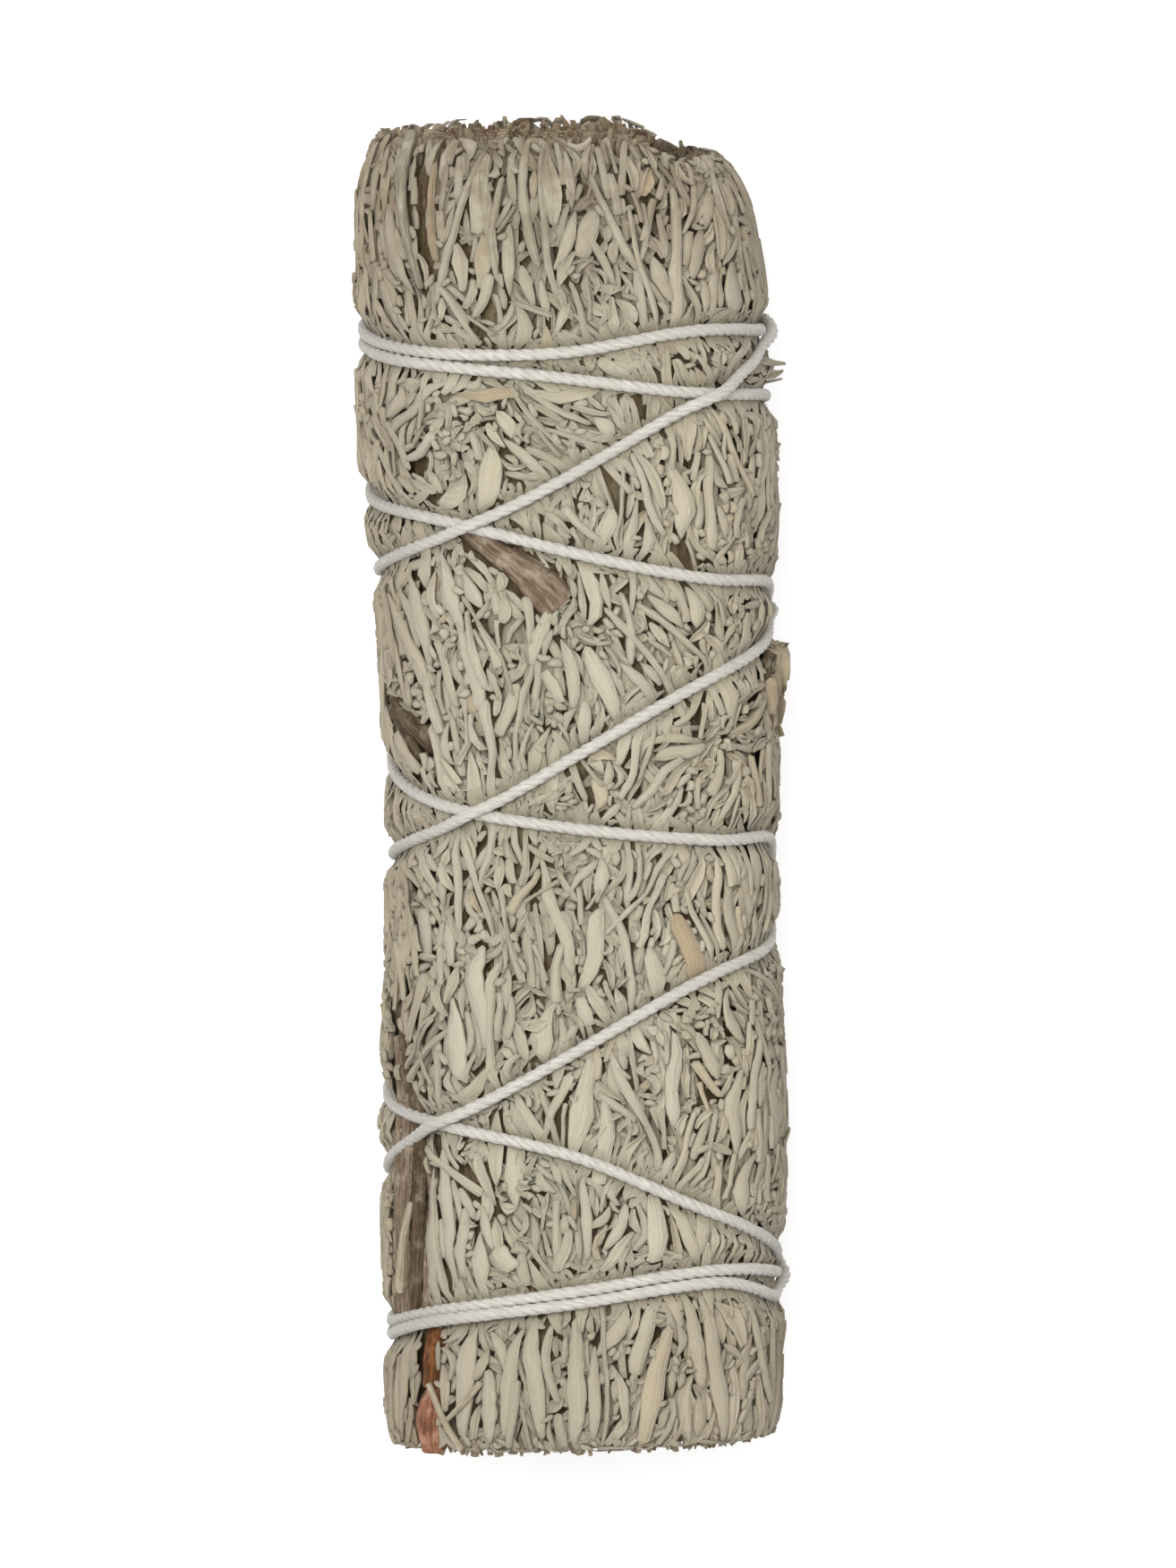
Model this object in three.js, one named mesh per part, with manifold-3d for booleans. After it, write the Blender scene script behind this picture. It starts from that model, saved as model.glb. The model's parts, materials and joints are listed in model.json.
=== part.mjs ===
// A dried sage bunch: leafy sprigs packed side by side, a few woody twigs pressed in among them, and one cotton
// string wound down the bunch and back up again, so that its turns cross. The bunch lies on its side.
// Millimetres, +Z up, +Y towards the top end of the sprigs; angles are in degrees round the bunch, 0 at +X and
// 90 on top.
import * as THREE from "three";
import { mergeVertices } from "three/addons/utils/BufferGeometryUtils.js";
import Module from "manifold-3d";

const wasm = await Module();
wasm.setup();
const { Manifold, Mesh: ManifoldMesh } = wasm;

// ---- Driving dimensions ----

const SPRIG_LENGTH = 107.8; // the packed sprigs, from foot to top, without the ends that stick out
const HALF_DEPTH = 12.95;
const SQUARENESS = 2.25; // exponent of the section's oval; 2 would be an ellipse
// Distance along the bunch, half its width there, and how far its middle lies towards +X.
const GIRTH = [
  [-54.5, 14.45, 0],
  [-40.9, 14.75, 0.45],
  [-27.3, 15.0, 0.7],
  [-13.6, 14.45, 1.0],
  [0, 14.4, 1.35],
  [13.6, 14.65, 1.25],
  [27.3, 15.45, 0.9],
  [40.9, 15.15, 0.55],
  [54.5, 13.95, 0],
];
// The flattened underside: its drop below the axis at the foot, how much less that is towards the top, and where
// it changes.
const BELLY = { drop: 12.3, hollow: 0.12, from: -39, to: -36.5 };
// Two bulges of leaves underneath, each an angle and a way along. The bunch lies on them and on the string near
// its foot.
const BULGES = [[254, 22.5], [286, 22.5]];
const BULGE_FLAT = [1, 1.6]; // half sizes across and along where a bulge is pressed flat
const BULGE_ROOT = [1.5, 2.6];
const BULGE_DEPTH = 0.6; // how far its root is sunk into the packed leaves
const TOP_ROUNDING = { from: 48, share: 0.1 };
const FOOT_ROUNDING = { from: -51, share: 0.04 };

const STRING_FLATS = 1.4; // the string's thickness across the flats of its section
const STRING_LIFT = 1.55; // from the packed leaves up to the string's centre line
const STRING_PASS = 1.85; // least distance between two centre lines where turns cross
const STRING_SAG = 5; // radius in which the string comes down again beside a crossing
const STRING_CLEARANCE = 0.3;
const KNOT = { angle: -45, along: 40.5, lift: 1.9, radius: 1.7 };
// The string's loose ends from the knot: turn round the bunch, way along it, and height over the packed leaves.
const STRING_TAILS = [
  [[0, 0, 1.9], [-3, 3.4, 1.7], [-5, 6.6, 1.7], [-8, 9, 1.8]],
  [[0, 0, 1.9], [9, 3, 1.8], [18, 5.4, 1.6], [23, 8.6, 1.7]],
];

// How far along the bunch the string lies, every 45 degrees of its way round. It goes from the knot, underneath,
// to the left edge. Each turn then passes over the top and back underneath: left edge, left shoulder, ridge,
// right shoulder, right edge, right underside, belly, left underside. The last turn ends at the knot.
const STRING_START = [KNOT.along, 39.9, 39.1];
const STRING_TURNS = [
  [38.0, 37.2, 37.2, 38.3, 37.3, 36.9, 36.6, 36.4],
  [36.1, 35.3, 34.7, 33.0, 31.9, 30.5, 28.6, 26.6],
  [24.6, 23.4, 20.4, 17.7, 16.1, 10.5, 7.6, 4.9],
  [2.3, -0.5, -2.2, -3.9, -5.3, -14.5, -18.4, -21.8],
  [-24.9, -26.4, -29.6, -34.7, -38.4, -39.6, -40.8, -42.0],
  [-43.2, -41.4, -39.7, -39.0, -40.4, -41.5, -42.7, -43.9],
  [-45.1, -43.3, -41.6, -40.9, -42.7, -36.5, -34.5, -32.6],
  [-30.9, -26.2, -20.5, -15.0, -12.6, -8.0, -7.0, -6.0],
  [-5.1, -2.0, 4.0, 9.6, 12.2, 15.5, 16.8, 17.7],
  [18.4, 21.6, 26.6, 32.3, 36.6, KNOT.along],
];

const OUTER_SPRIGS = 12;
const INNER_SPRIGS = 6;
const SPRIG_GAP = 0.3;
const END_CUT = 0.9;
const OUTER_REACH = [0.66, 1]; // each ring's inside and outside, as shares of the bunch's radius
const INNER_REACH = [0.3, 0.66];

const LEAF_ROWS = 12; // rows of leaves along an outer sprig, two leaves in each
const LEAF_LENGTH = [9, 11.5];
const LEAF_WIDTH = [3, 3.6];
const LEAF_RISE = [0.9, 1.5]; // height of a leaf's ridge above the packed leaves
const PRESSED_RISE = 0.5; // the same for a leaf under the string
const PRESS_DISTANCE = 1.9; // leaves nearer than this to the string's centre line are pressed flat
const LEAF_COLUMNS = [0.72, 0.28]; // shares of the sprig's width at which its two leaves in a row lie
const LEAF_STAGGER = [0.25, 0.7]; // the same along the row
const LEAF_TURN = 16; // most that a leaf is turned from the bunch's length
const UPWARD_SHARE = 0.6; // of the leaves, those whose tips point to the top
const TWIG_DISTANCE = 2; // no leaf has its middle nearer than this to a woody twig
const SEED = 11;

const COLOURS = {
  leaves: [0xada893, 0xa39d86, 0xb3ab93, 0x9c9780],
  heart: 0x7d735c,
  string: 0xd8d3c9,
  greyBark: 0x877d6d,
  darkBark: 0x5d4c39,
  redStem: 0x88725b,
  greenStem: 0x8d8a70,
};

// Woody twigs on the outside. Each point of a run is an angle, the distance along the bunch, the height of the
// middle over the packed leaves, half the width and half the thickness.
const TWIGS = [
  {
    name: "forked_twig_front",
    colour: COLOURS.greyBark,
    runs: [
      [
        [128, 23.6, -0.6, 0.6, 0.6],
        [120, 20.8, -0.4, 0.9, 0.9],
        [108, 18.2, -0.1, 1.1, 1],
        [96, 16.3, 0.1, 1.5, 1.2],
      ],
      [[109, 18.4, -0.1, 0.7, 0.7], [104, 19.2, 0.3, 0.6, 0.6], [98, 19.5, 0.7, 0.5, 0.5]],
    ],
  },
  {
    name: "dark_twig_left",
    colour: COLOURS.darkBark,
    runs: [
      [
        [172, 8.6, 0, 0.6, 0.6],
        [161, 7.4, 0.2, 0.9, 0.9],
        [151, 6.5, 0.2, 0.9, 0.9],
        [142, 5.2, 0, 0.7, 0.7],
      ],
    ],
  },
  {
    name: "bark_stem_left",
    colour: COLOURS.greyBark,
    runs: [
      [
        [176, -16.6, 0.3, 0.8, 0.7],
        [163, -18.2, -0.3, 1.3, 1],
        [151, -22, -0.7, 1.5, 1],
        [150, -30, -0.6, 1.5, 1],
        [153, -37.5, -0.6, 1.4, 1],
        [157, -42.6, -0.7, 1.2, 0.9],
      ],
    ],
  },
  {
    name: "red_stem_foot",
    colour: COLOURS.redStem,
    runs: [
      [
        [143, -44, -0.6, 0.9, 0.8],
        [145, -47, 0, 1, 1],
        [147, -50.5, 0.2, 1.1, 1],
        [148, -54.6, 0.2, 1, 0.9],
      ],
      [[148, -48.8, 0.6, 0.6, 0.5], [141, -51.2, 1, 0.5, 0.5], [136, -53.3, 0.9, 0.4, 0.4]],
    ],
  },
  {
    name: "twig_tip_right",
    colour: COLOURS.greyBark,
    runs: [
      [
        [-11, -2.8, -0.3, 0.5, 0.5],
        [-9, 2.2, 0.1, 0.7, 0.7],
        [-5, 6.2, 0.7, 0.9, 0.9],
        [-1, 10.2, 1.4, 0.7, 0.7],
      ],
      [[-4, 6.8, 0.7, 0.6, 0.6], [8, 8, 0.3, 0.5, 0.5], [20, 8.2, 0, 0.4, 0.4]],
    ],
  },
  {
    name: "grey_stem_top_left",
    colour: COLOURS.greenStem,
    runs: [
      [
        [135, 41, -0.3, 0.4, 0.4],
        [138, 45.5, 0.2, 0.5, 0.5],
        [142, 51, 0.3, 0.5, 0.5],
        [143, 56, 0.1, 0.5, 0.5],
      ],
    ],
  },
];

// ---- Worked out from them ----

const TOP = SPRIG_LENGTH / 2;
const FOOT = -TOP;
const AXIS_HEIGHT = BELLY.drop + STRING_LIFT + STRING_FLATS / 2; // the string at the foot touches z = 0
const { clamp, degToRad, euclideanModulo, lerp, radToDeg, seededRandom, smoothstep } = THREE.MathUtils;

seededRandom(SEED);

function between(low, high) {
  return lerp(low, high, seededRandom());
}

// ---- The bunch's own shape ----

function girthAt(along) {
  const held = clamp(along, GIRTH[0][0], GIRTH.at(-1)[0]);
  const next = Math.max(1, GIRTH.findIndex(([place]) => place >= held));
  const [low, high] = GIRTH.slice(next - 1, next + 1);
  const share = (held - low[0]) / (high[0] - low[0]);
  return { halfWidth: lerp(low[1], high[1], share), shift: lerp(low[2], high[2], share) };
}

function endRounding(along) {
  const towardsTop = Math.max(0, along - TOP_ROUNDING.from) / (TOP - TOP_ROUNDING.from);
  const towardsFoot = Math.max(0, FOOT_ROUNDING.from - along) / (FOOT_ROUNDING.from - FOOT);
  return 1 - TOP_ROUNDING.share * towardsTop ** 2 - FOOT_ROUNDING.share * towardsFoot ** 2;
}

function bellyDrop(along) {
  return BELLY.drop - BELLY.hollow * smoothstep(along, BELLY.from, BELLY.to);
}

function bunchRadius(angle, along) {
  const across = Math.cos(degToRad(angle));
  const up = Math.sin(degToRad(angle));
  const wide = Math.abs(across / girthAt(along).halfWidth) ** SQUARENESS;
  const deep = Math.abs(up / HALF_DEPTH) ** SQUARENESS;
  const oval = (wide + deep) ** (-1 / SQUARENESS);
  const flattened = up < 0 ? Math.min(oval, -bellyDrop(along) / up) : oval;
  return flattened * endRounding(along);
}

// A point at a share of the radius, moved round the bunch by some millimetres.
function within(angle, along, share, sideways = 0) {
  const radians = degToRad(angle);
  const reach = bunchRadius(angle, along) * share;
  return new THREE.Vector3(
    girthAt(along).shift + reach * Math.cos(radians) - sideways * Math.sin(radians),
    along,
    AXIS_HEIGHT + reach * Math.sin(radians) + sideways * Math.cos(radians),
  );
}

function outwardAt(angle, along) {
  const step = 1.5;
  const round = within(angle + step, along, 1).sub(within(angle - step, along, 1));
  return new THREE.Vector3(round.z, 0, -round.x).normalize();
}

function above(angle, along, height) {
  return within(angle, along, 1).addScaledVector(outwardAt(angle, along), height);
}

// ---- Solids ----

function geometryOf(points, faces) {
  const geometry = new THREE.BufferGeometry().setFromPoints(points);
  geometry.setIndex(faces.flat());
  return geometry;
}

function solidOf(geometry) {
  const bare = geometry.clone();
  bare.deleteAttribute("normal");
  bare.deleteAttribute("uv");
  const merged = mergeVertices(bare);
  const vertProperties = new Float32Array(merged.attributes.position.array);
  const triVerts = new Uint32Array(merged.index.array);
  return new Manifold(new ManifoldMesh({ numProp: 3, vertProperties, triVerts }));
}

function meshOf(name, solid, colour, roughness) {
  const { vertProperties, triVerts } = solid.getMesh();
  const geometry = new THREE.BufferGeometry();
  geometry.setAttribute("position", new THREE.BufferAttribute(vertProperties, 3));
  geometry.setIndex(new THREE.BufferAttribute(triVerts, 1));
  geometry.computeVertexNormals();
  const material = new THREE.MeshStandardMaterial({ color: colour, roughness, metalness: 0 });
  const mesh = new THREE.Mesh(geometry, material);
  mesh.name = name;
  return mesh;
}

// Sections of equal length joined into a closed body; endFaces are the faces that close the first section.
function loft(sections, endFaces) {
  const size = sections[0].length;
  const last = (sections.length - 1) * size;
  const faces = endFaces.flatMap(([a, b, c]) => [[a, b, c], [last + a, last + c, last + b]]);
  for (let row = 0; row < sections.length - 1; row++) {
    for (let i = 0; i < size; i++) {
      const [a, b] = [row * size + i, row * size + ((i + 1) % size)];
      // The closing side is split the other way, so that both sides of a border between sprigs match.
      const [c, d] = [a + size, b + size];
      const split = i === size - 1 ? [[a, c, d], [a, d, b]] : [[a, c, b], [b, c, d]];
      faces.push(...split);
    }
  }
  return solidOf(geometryOf(sections.flat(), faces));
}

function fan(size) {
  return Array.from({ length: size - 2 }, (_, i) => [0, i + 1, i + 2]);
}

// The end faces of a section that goes out along one arc and back along another.
function strip(arc) {
  const size = 2 * arc;
  return Array.from({ length: arc - 1 }, (_, i) => [
    [i, i + 1, size - 2 - i],
    [i, size - 2 - i, size - 1 - i],
  ]).flat();
}

// A tapering stick through points of angle, distance along, height, half width and half thickness.
function stick(run, sides, grow = 0) {
  const centres = run.map(([angle, along, height]) => above(angle, along, height));
  const sections = run.map(([angle, along, , halfWidth, halfThickness], i) => {
    const [before, after] = [centres[Math.max(i - 1, 0)], centres[Math.min(i + 1, run.length - 1)]];
    const onward = after.clone().sub(before).normalize();
    const sideways = new THREE.Vector3().crossVectors(onward, outwardAt(angle, along)).normalize();
    const outward = new THREE.Vector3().crossVectors(sideways, onward);
    const end = (i === 0 ? -grow : 0) + (i === run.length - 1 ? grow : 0);
    return Array.from({ length: sides }, (_, k) => {
      const turn = (2 * Math.PI * (k + 0.5)) / sides;
      return centres[i]
        .clone()
        .addScaledVector(onward, end)
        .addScaledVector(sideways, (halfWidth + grow) * Math.cos(turn))
        .addScaledVector(outward, (halfThickness + grow) * Math.sin(turn));
    });
  });
  return loft(sections, fan(sides));
}

function withoutScraps(solid) {
  return solid.decompose().sort((one, other) => other.volume() - one.volume())[0];
}

// ---- The string ----

const NODE_STEP = 45;
const ROUTE_STEP = 2.5; // degrees between samples of the route
const NEAR_SAMPLES = 6; // how far to either side an earlier turn is looked for
const ROUTE_START = -135; // degrees before the left edge of the first turn, where the knot is

const routeNodes = [...STRING_START, ...STRING_TURNS.flat()].map(
  (along, i) => new THREE.Vector2(ROUTE_START + NODE_STEP * i, along),
);
const ROUTE_END = routeNodes.at(-1).x;
const routeCurve = new THREE.SplineCurve(routeNodes);

const route = [];
for (let turned = ROUTE_START; turned <= ROUTE_END; turned += ROUTE_STEP) {
  const along = routeCurve.getPoint((turned - ROUTE_START) / (ROUTE_END - ROUTE_START)).y;
  route.push({ angle: 180 - turned, along, rise: 0 });
}

// Each turn lies over the earlier ones that it crosses, and comes down beside them in an easy curve.
function liftOverCrossings() {
  const perTurn = 360 / ROUTE_STEP;
  const spacing = degToRad(ROUTE_STEP) * HALF_DEPTH;
  const needed = route.map(({ along }, i) => {
    let rise = 0;
    for (let under = i - perTurn; under >= 0; under -= perTurn) {
      const near = route.slice(Math.max(0, under - NEAR_SAMPLES), under + NEAR_SAMPLES + 1);
      const distances = near.map((other) => (
        Math.hypot(along - other.along, (route.indexOf(other) - under) * spacing)
      ));
      const apart = Math.min(...distances);
      rise = Math.max(rise, Math.sqrt(Math.max(0, STRING_PASS ** 2 - apart ** 2)));
    }
    return rise;
  });
  const sag = spacing ** 2 / (2 * STRING_SAG);
  const rises = [...needed];
  for (let pass = 0; pass < 200; pass++) {
    for (let i = 1; i < rises.length - 1; i++) {
      rises[i] = Math.max(needed[i], (rises[i - 1] + rises[i + 1]) / 2 - sag);
    }
  }
  route.forEach((sample, i) => {
    sample.rise = rises[i];
  });
}
liftOverCrossings();

// The route as a path for extruding, its sections standing square to the bunch's surface.
class StringPath extends THREE.Curve {
  constructor(samples) {
    super();
    this.samples = samples;
    this.points = samples.map(({ angle, along, rise }) => above(angle, along, STRING_LIFT + rise));
  }

  getSpacedPoints() {
    return this.points;
  }

  computeFrenetFrames() {
    const frames = { tangents: [], normals: [], binormals: [] };
    this.samples.forEach(({ angle, along }, i) => {
      const before = this.points[Math.max(i - 1, 0)];
      const after = this.points[Math.min(i + 1, this.points.length - 1)];
      const tangent = after.clone().sub(before).normalize();
      const binormal = new THREE.Vector3().crossVectors(tangent, outwardAt(angle, along)).normalize();
      frames.tangents.push(tangent);
      frames.normals.push(new THREE.Vector3().crossVectors(binormal, tangent));
      frames.binormals.push(binormal);
    });
    return frames;
  }
}

function hexagon(flats) {
  const corner = flats / 2 / Math.cos(Math.PI / 6);
  const corners = Array.from({ length: 6 }, (_, k) => {
    const turn = ((2 * k + 1) * Math.PI) / 6;
    return new THREE.Vector2(corner * Math.cos(turn), corner * Math.sin(turn));
  });
  return new THREE.Shape(corners);
}

function stringAlong(samples, flats) {
  const extrudePath = new StringPath(samples);
  return solidOf(new THREE.ExtrudeGeometry(hexagon(flats), { extrudePath, steps: samples.length - 1 }));
}

// Samples far apart where the string lies flat, and close together at the crossings.
function stringStations() {
  const stations = [route[0]];
  for (let i = 1; i < route.length; i++) {
    const sinceLast = i - route.indexOf(stations.at(-1));
    const spacing = route[i].rise > 0.1 ? 4 : 7;
    if (sinceLast >= spacing || i === route.length - 1) {
      stations.push(route[i]);
    }
  }
  return stations;
}

function knotAndTails(grow) {
  const { angle, along, lift, radius } = KNOT;
  const lump = new THREE.SphereGeometry(radius + grow, 7, 5);
  const wrap = new THREE.TorusGeometry(radius * 0.62, radius * 0.5 + grow, 5, 8);
  const outward = outwardAt(angle, along);
  for (const geometry of [lump, wrap]) {
    geometry.applyQuaternion(new THREE.Quaternion().setFromUnitVectors(new THREE.Vector3(0, 0, 1), outward));
    geometry.translate(...above(angle, along, lift).toArray());
  }
  const thick = STRING_FLATS / 2;
  const tails = STRING_TAILS.map((tail) => (
    stick(tail.map(([turn, onward, height]) => [angle + turn, along + onward, height, thick, thick]), 6, grow)
  ));
  return Manifold.union([solidOf(lump), solidOf(wrap), ...tails]);
}

const stations = stringStations();
const string = Manifold.union(stringAlong(stations, STRING_FLATS), knotAndTails(0));

// The room that the leaves and twigs leave for the string, half a turn at a time.
function stringRoom() {
  const flats = STRING_FLATS + 2 * STRING_CLEARANCE;
  const pieces = [knotAndTails(STRING_CLEARANCE)];
  const halfTurn = Math.ceil(stations.length / (2 * STRING_TURNS.length));
  for (let start = 0; start < stations.length - 1; start += halfTurn) {
    pieces.push(stringAlong(stations.slice(start, start + halfTurn + 1), flats));
  }
  return Manifold.union(pieces);
}

function distanceTo(run, angle, along) {
  const radius = bunchRadius(angle, along);
  const distances = run.map(([otherAngle, otherAlong]) => {
    const round = euclideanModulo(otherAngle - angle + 180, 360) - 180;
    return Math.hypot(otherAlong - along, degToRad(round) * radius);
  });
  return Math.min(...distances);
}

const routePlaces = route.map((sample) => [sample.angle, sample.along]);
const twigPlaces = TWIGS.flatMap(({ runs }) => runs).flatMap((run) => run.slice(1).flatMap((point, i) => (
  [0, 0.5, 1].map((share) => [lerp(run[i][0], point[0], share), lerp(run[i][1], point[1], share)])
)));

// ---- The sprigs ----

// A border between two sprigs of a ring: it sways gently round the bunch on its way along it.
function borders(count, sway) {
  return Array.from({ length: count }, (_, k) => ({
    angle: (360 / count) * (k + between(-0.12, 0.12)),
    sway: between(0.6, 1) * sway,
    wave: between(48, 75),
    phase: between(0, 2 * Math.PI),
  }));
}

const OUTER_BORDERS = borders(OUTER_SPRIGS, 5);
const INNER_BORDERS = borders(INNER_SPRIGS, 8);
const OUTER_STATIONS = [FOOT, -51, -39, -26, -13, 0, 13, 26, 38, 48, 52, TOP];
const INNER_STATIONS = [FOOT, -51, -26, 0, 26, 48, TOP];

function borderAngle(ring, k, along) {
  const { angle, sway, wave, phase } = ring[k % ring.length];
  return angle + 360 * Math.floor(k / ring.length) + sway * Math.sin((2 * Math.PI * along) / wave + phase);
}

function acrossRing(ring, k, along, share) {
  return lerp(borderAngle(ring, k, along), borderAngle(ring, k + 1, along), share);
}

// The packed body of a sprig: the space between two borders and between two shares of the radius. Each sprig's
// ends are cut at their own length, a little short of the bunch's.
function packedBody(ring, k, reach, stationList, arc) {
  const cuts = [between(0, END_CUT), between(0, END_CUT)];
  const sections = stationList.map((station) => {
    const along = clamp(station, FOOT + cuts[0], TOP - cuts[1]);
    const side = (share, gap) => Array.from({ length: arc }, (_, i) => {
      const part = i / (arc - 1);
      const angle = acrossRing(ring, k, along, part);
      const trimmed = share + gap / bunchRadius(angle, along);
      return within(angle, along, trimmed, SPRIG_GAP * (0.5 - part));
    });
    const outside = side(reach[1], reach[1] < 1 ? -SPRIG_GAP / 2 : 0);
    return [...outside, ...side(reach[0], SPRIG_GAP / 2).reverse()];
  });
  return loft(sections, strip(arc));
}

// A point on an outer sprig, from how far it is round the bunch from a start angle, kept off the borders.
function onSprig(k, startAngle, round, along, height) {
  const radius = bunchRadius(startAngle, along) + height;
  const margin = radToDeg((SPRIG_GAP / 2 + 0.1) / radius);
  const angle = startAngle - radToDeg(round / radius);
  const low = borderAngle(OUTER_BORDERS, k, along) + margin;
  const high = borderAngle(OUTER_BORDERS, k + 1, along) - margin;
  return above(clamp(angle, low, high), along, height);
}

const LEAF_FACES = [
  [0, 6, 1], [1, 6, 2], [2, 6, 3], [3, 6, 4], [4, 6, 5], [5, 6, 0],
  [0, 1, 2], [0, 2, 5], [5, 2, 4], [2, 3, 4],
];

// A pointed leaf, its root sunk into the sprig and its tip lifted: six points round its edge and one on its back.
function leaf(k, { angle, along, heading, length, width, rise, edgeRise, tipRise }) {
  const turned = degToRad(heading);
  const place = (forward, across, height) => onSprig(
    k,
    angle,
    forward * Math.sin(turned) + across * Math.cos(turned),
    clamp(along + forward * Math.cos(turned) - across * Math.sin(turned), FOOT - 0.8, TOP + 0.8),
    height,
  );
  return solidOf(geometryOf([
    place(-0.5 * length, 0, -0.6),
    place(-0.22 * length, -0.46 * width, lerp(-0.6, edgeRise, 0.8)),
    place(0.18 * length, -0.44 * width, edgeRise),
    place(0.5 * length, 0, tipRise),
    place(0.18 * length, 0.44 * width, edgeRise),
    place(-0.22 * length, 0.46 * width, lerp(-0.6, edgeRise, 0.8)),
    place(0, 0, rise),
  ], LEAF_FACES));
}

function leavesOf(k) {
  const pitch = SPRIG_LENGTH / LEAF_ROWS;
  const leaves = [];
  for (let i = 0; i < 2 * LEAF_ROWS; i++) {
    const along = FOOT + pitch * (Math.floor(i / 2) + LEAF_STAGGER[i % 2]) + between(-1.2, 1.2);
    const angle = acrossRing(OUTER_BORDERS, k, along, LEAF_COLUMNS[i % 2] + between(-0.06, 0.06));
    const length = between(...LEAF_LENGTH);
    const heading = (between(0, 1) < UPWARD_SHARE ? 0 : 180) + between(-LEAF_TURN, LEAF_TURN);
    const places = [-0.4, -0.15, 0.15, 0.4].map((at) => along + at * length);
    const pressed = places.some((place) => distanceTo(routePlaces, angle, place) < PRESS_DISTANCE);
    const shape = {
      width: between(...LEAF_WIDTH),
      rise: pressed ? PRESSED_RISE : between(...LEAF_RISE),
      edgeRise: pressed ? -0.2 : between(0, 0.35),
      tipRise: pressed ? 0 : between(0.3, 1),
    };
    if (distanceTo(twigPlaces, angle, along) > TWIG_DISTANCE) {
      leaves.push(leaf(k, { angle, along, heading, length, ...shape }));
    }
  }
  return leaves;
}

// The sprig's stem where it shows between the leaves.
function stemOf(k) {
  const foot = between(FOOT + 8, TOP - 40);
  const share = between(0.44, 0.56);
  const run = [0, 1, 2].map((i) => {
    const along = foot + i * 12;
    const angle = acrossRing(OUTER_BORDERS, k, along, share + 0.06 * Math.sin(i * 1.7 + k));
    return [angle, along, i === 1 ? 0.1 : -0.25, 0.5, 0.45];
  });
  return stick(run, 4);
}

// The bulges of leaves that belong to a sprig, down to z = 0.
function bulgesOf(k) {
  const own = BULGES.filter(([angle, along]) => (
    angle > borderAngle(OUTER_BORDERS, k, along) && angle < borderAngle(OUTER_BORDERS, k + 1, along)
  ));
  return own.map(([angle, along]) => {
    const { x, z } = within(angle, along, 1);
    const ring = ([across, onward], height) => Array.from({ length: 8 }, (_, i) => {
      const turn = (2 * Math.PI * (i + 0.5)) / 8;
      return new THREE.Vector3(x + across * Math.cos(turn), along + onward * Math.sin(turn), height);
    });
    return loft([ring(BULGE_ROOT, z + BULGE_DEPTH), ring(BULGE_FLAT, 0)], fan(8));
  });
}

// Cut stem ends that stand out of both ends of a sprig.
function cutEnds(ring, k, shares, places) {
  return [FOOT, TOP].flatMap((end) => places.map(([part, share]) => {
    const inside = end - Math.sign(end) * 3;
    const outside = end + Math.sign(end) * between(0.3, 1.2);
    const angle = acrossRing(ring, k, end, part + between(-0.06, 0.06));
    const centre = within(angle, end, lerp(shares[0], shares[1], share));
    const stem = new THREE.CylinderGeometry(between(0.5, 0.75), 0.6, Math.abs(outside - inside), 5);
    stem.rotateX(end > 0 ? 0 : Math.PI);
    stem.translate(centre.x, (inside + outside) / 2, centre.z);
    return solidOf(stem);
  }));
}

const twigRoom = Manifold.union(TWIGS.flatMap(({ runs }) => runs.map((run) => stick(run, 6, SPRIG_GAP))));
const room = Manifold.union(stringRoom(), twigRoom);

function outerSprig(k) {
  const body = packedBody(OUTER_BORDERS, k, OUTER_REACH, OUTER_STATIONS, 3);
  const ends = cutEnds(OUTER_BORDERS, k, OUTER_REACH, [[0.3, 0.35], [0.7, 0.62]]);
  const whole = Manifold.union([body, ...leavesOf(k), stemOf(k), ...bulgesOf(k), ...ends]);
  return withoutScraps(whole.subtract(room));
}

function innerSprig(k) {
  const body = packedBody(INNER_BORDERS, k, INNER_REACH, INNER_STATIONS, 3);
  const ends = cutEnds(INNER_BORDERS, k, INNER_REACH, [[0.28, 0.7], [0.7, 0.45]]);
  return Manifold.union([body, ...ends]);
}

function heartSprig() {
  const sections = INNER_STATIONS.map((along) => Array.from({ length: 10 }, (_, i) => {
    const angle = 36 * i;
    return within(angle, along, INNER_REACH[0] - SPRIG_GAP / bunchRadius(angle, along));
  }));
  return loft(sections, fan(10));
}

// ---- The bunch ----

const sprigs = new THREE.Group();
for (let k = 0; k < OUTER_SPRIGS; k++) {
  const colour = COLOURS.leaves[k % COLOURS.leaves.length];
  sprigs.add(meshOf(`outer_sprig_${String(k + 1).padStart(2, "0")}`, outerSprig(k), colour, 0.95));
}
for (let k = 0; k < INNER_SPRIGS; k++) {
  sprigs.add(meshOf(`inner_sprig_${k + 1}`, innerSprig(k), COLOURS.leaves[1], 0.95));
}
sprigs.add(meshOf("heart_sprig", heartSprig(), COLOURS.heart, 0.95));

const twigs = new THREE.Group();
for (const { name, colour, runs } of TWIGS) {
  const wood = Manifold.union(runs.map((run) => stick(run, 6))).subtract(stringRoom());
  twigs.add(meshOf(name, withoutScraps(wood), colour, 0.85));
}

const bunch = new THREE.Group();
bunch.add(sprigs, twigs, meshOf("cotton_string", string, COLOURS.string, 0.9));

const box = new THREE.Box3().setFromObject(bunch);
const centre = box.getCenter(new THREE.Vector3());
bunch.position.set(-centre.x, -centre.y, -box.min.z);
bunch.updateMatrixWorld(true);

export default bunch;
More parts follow.
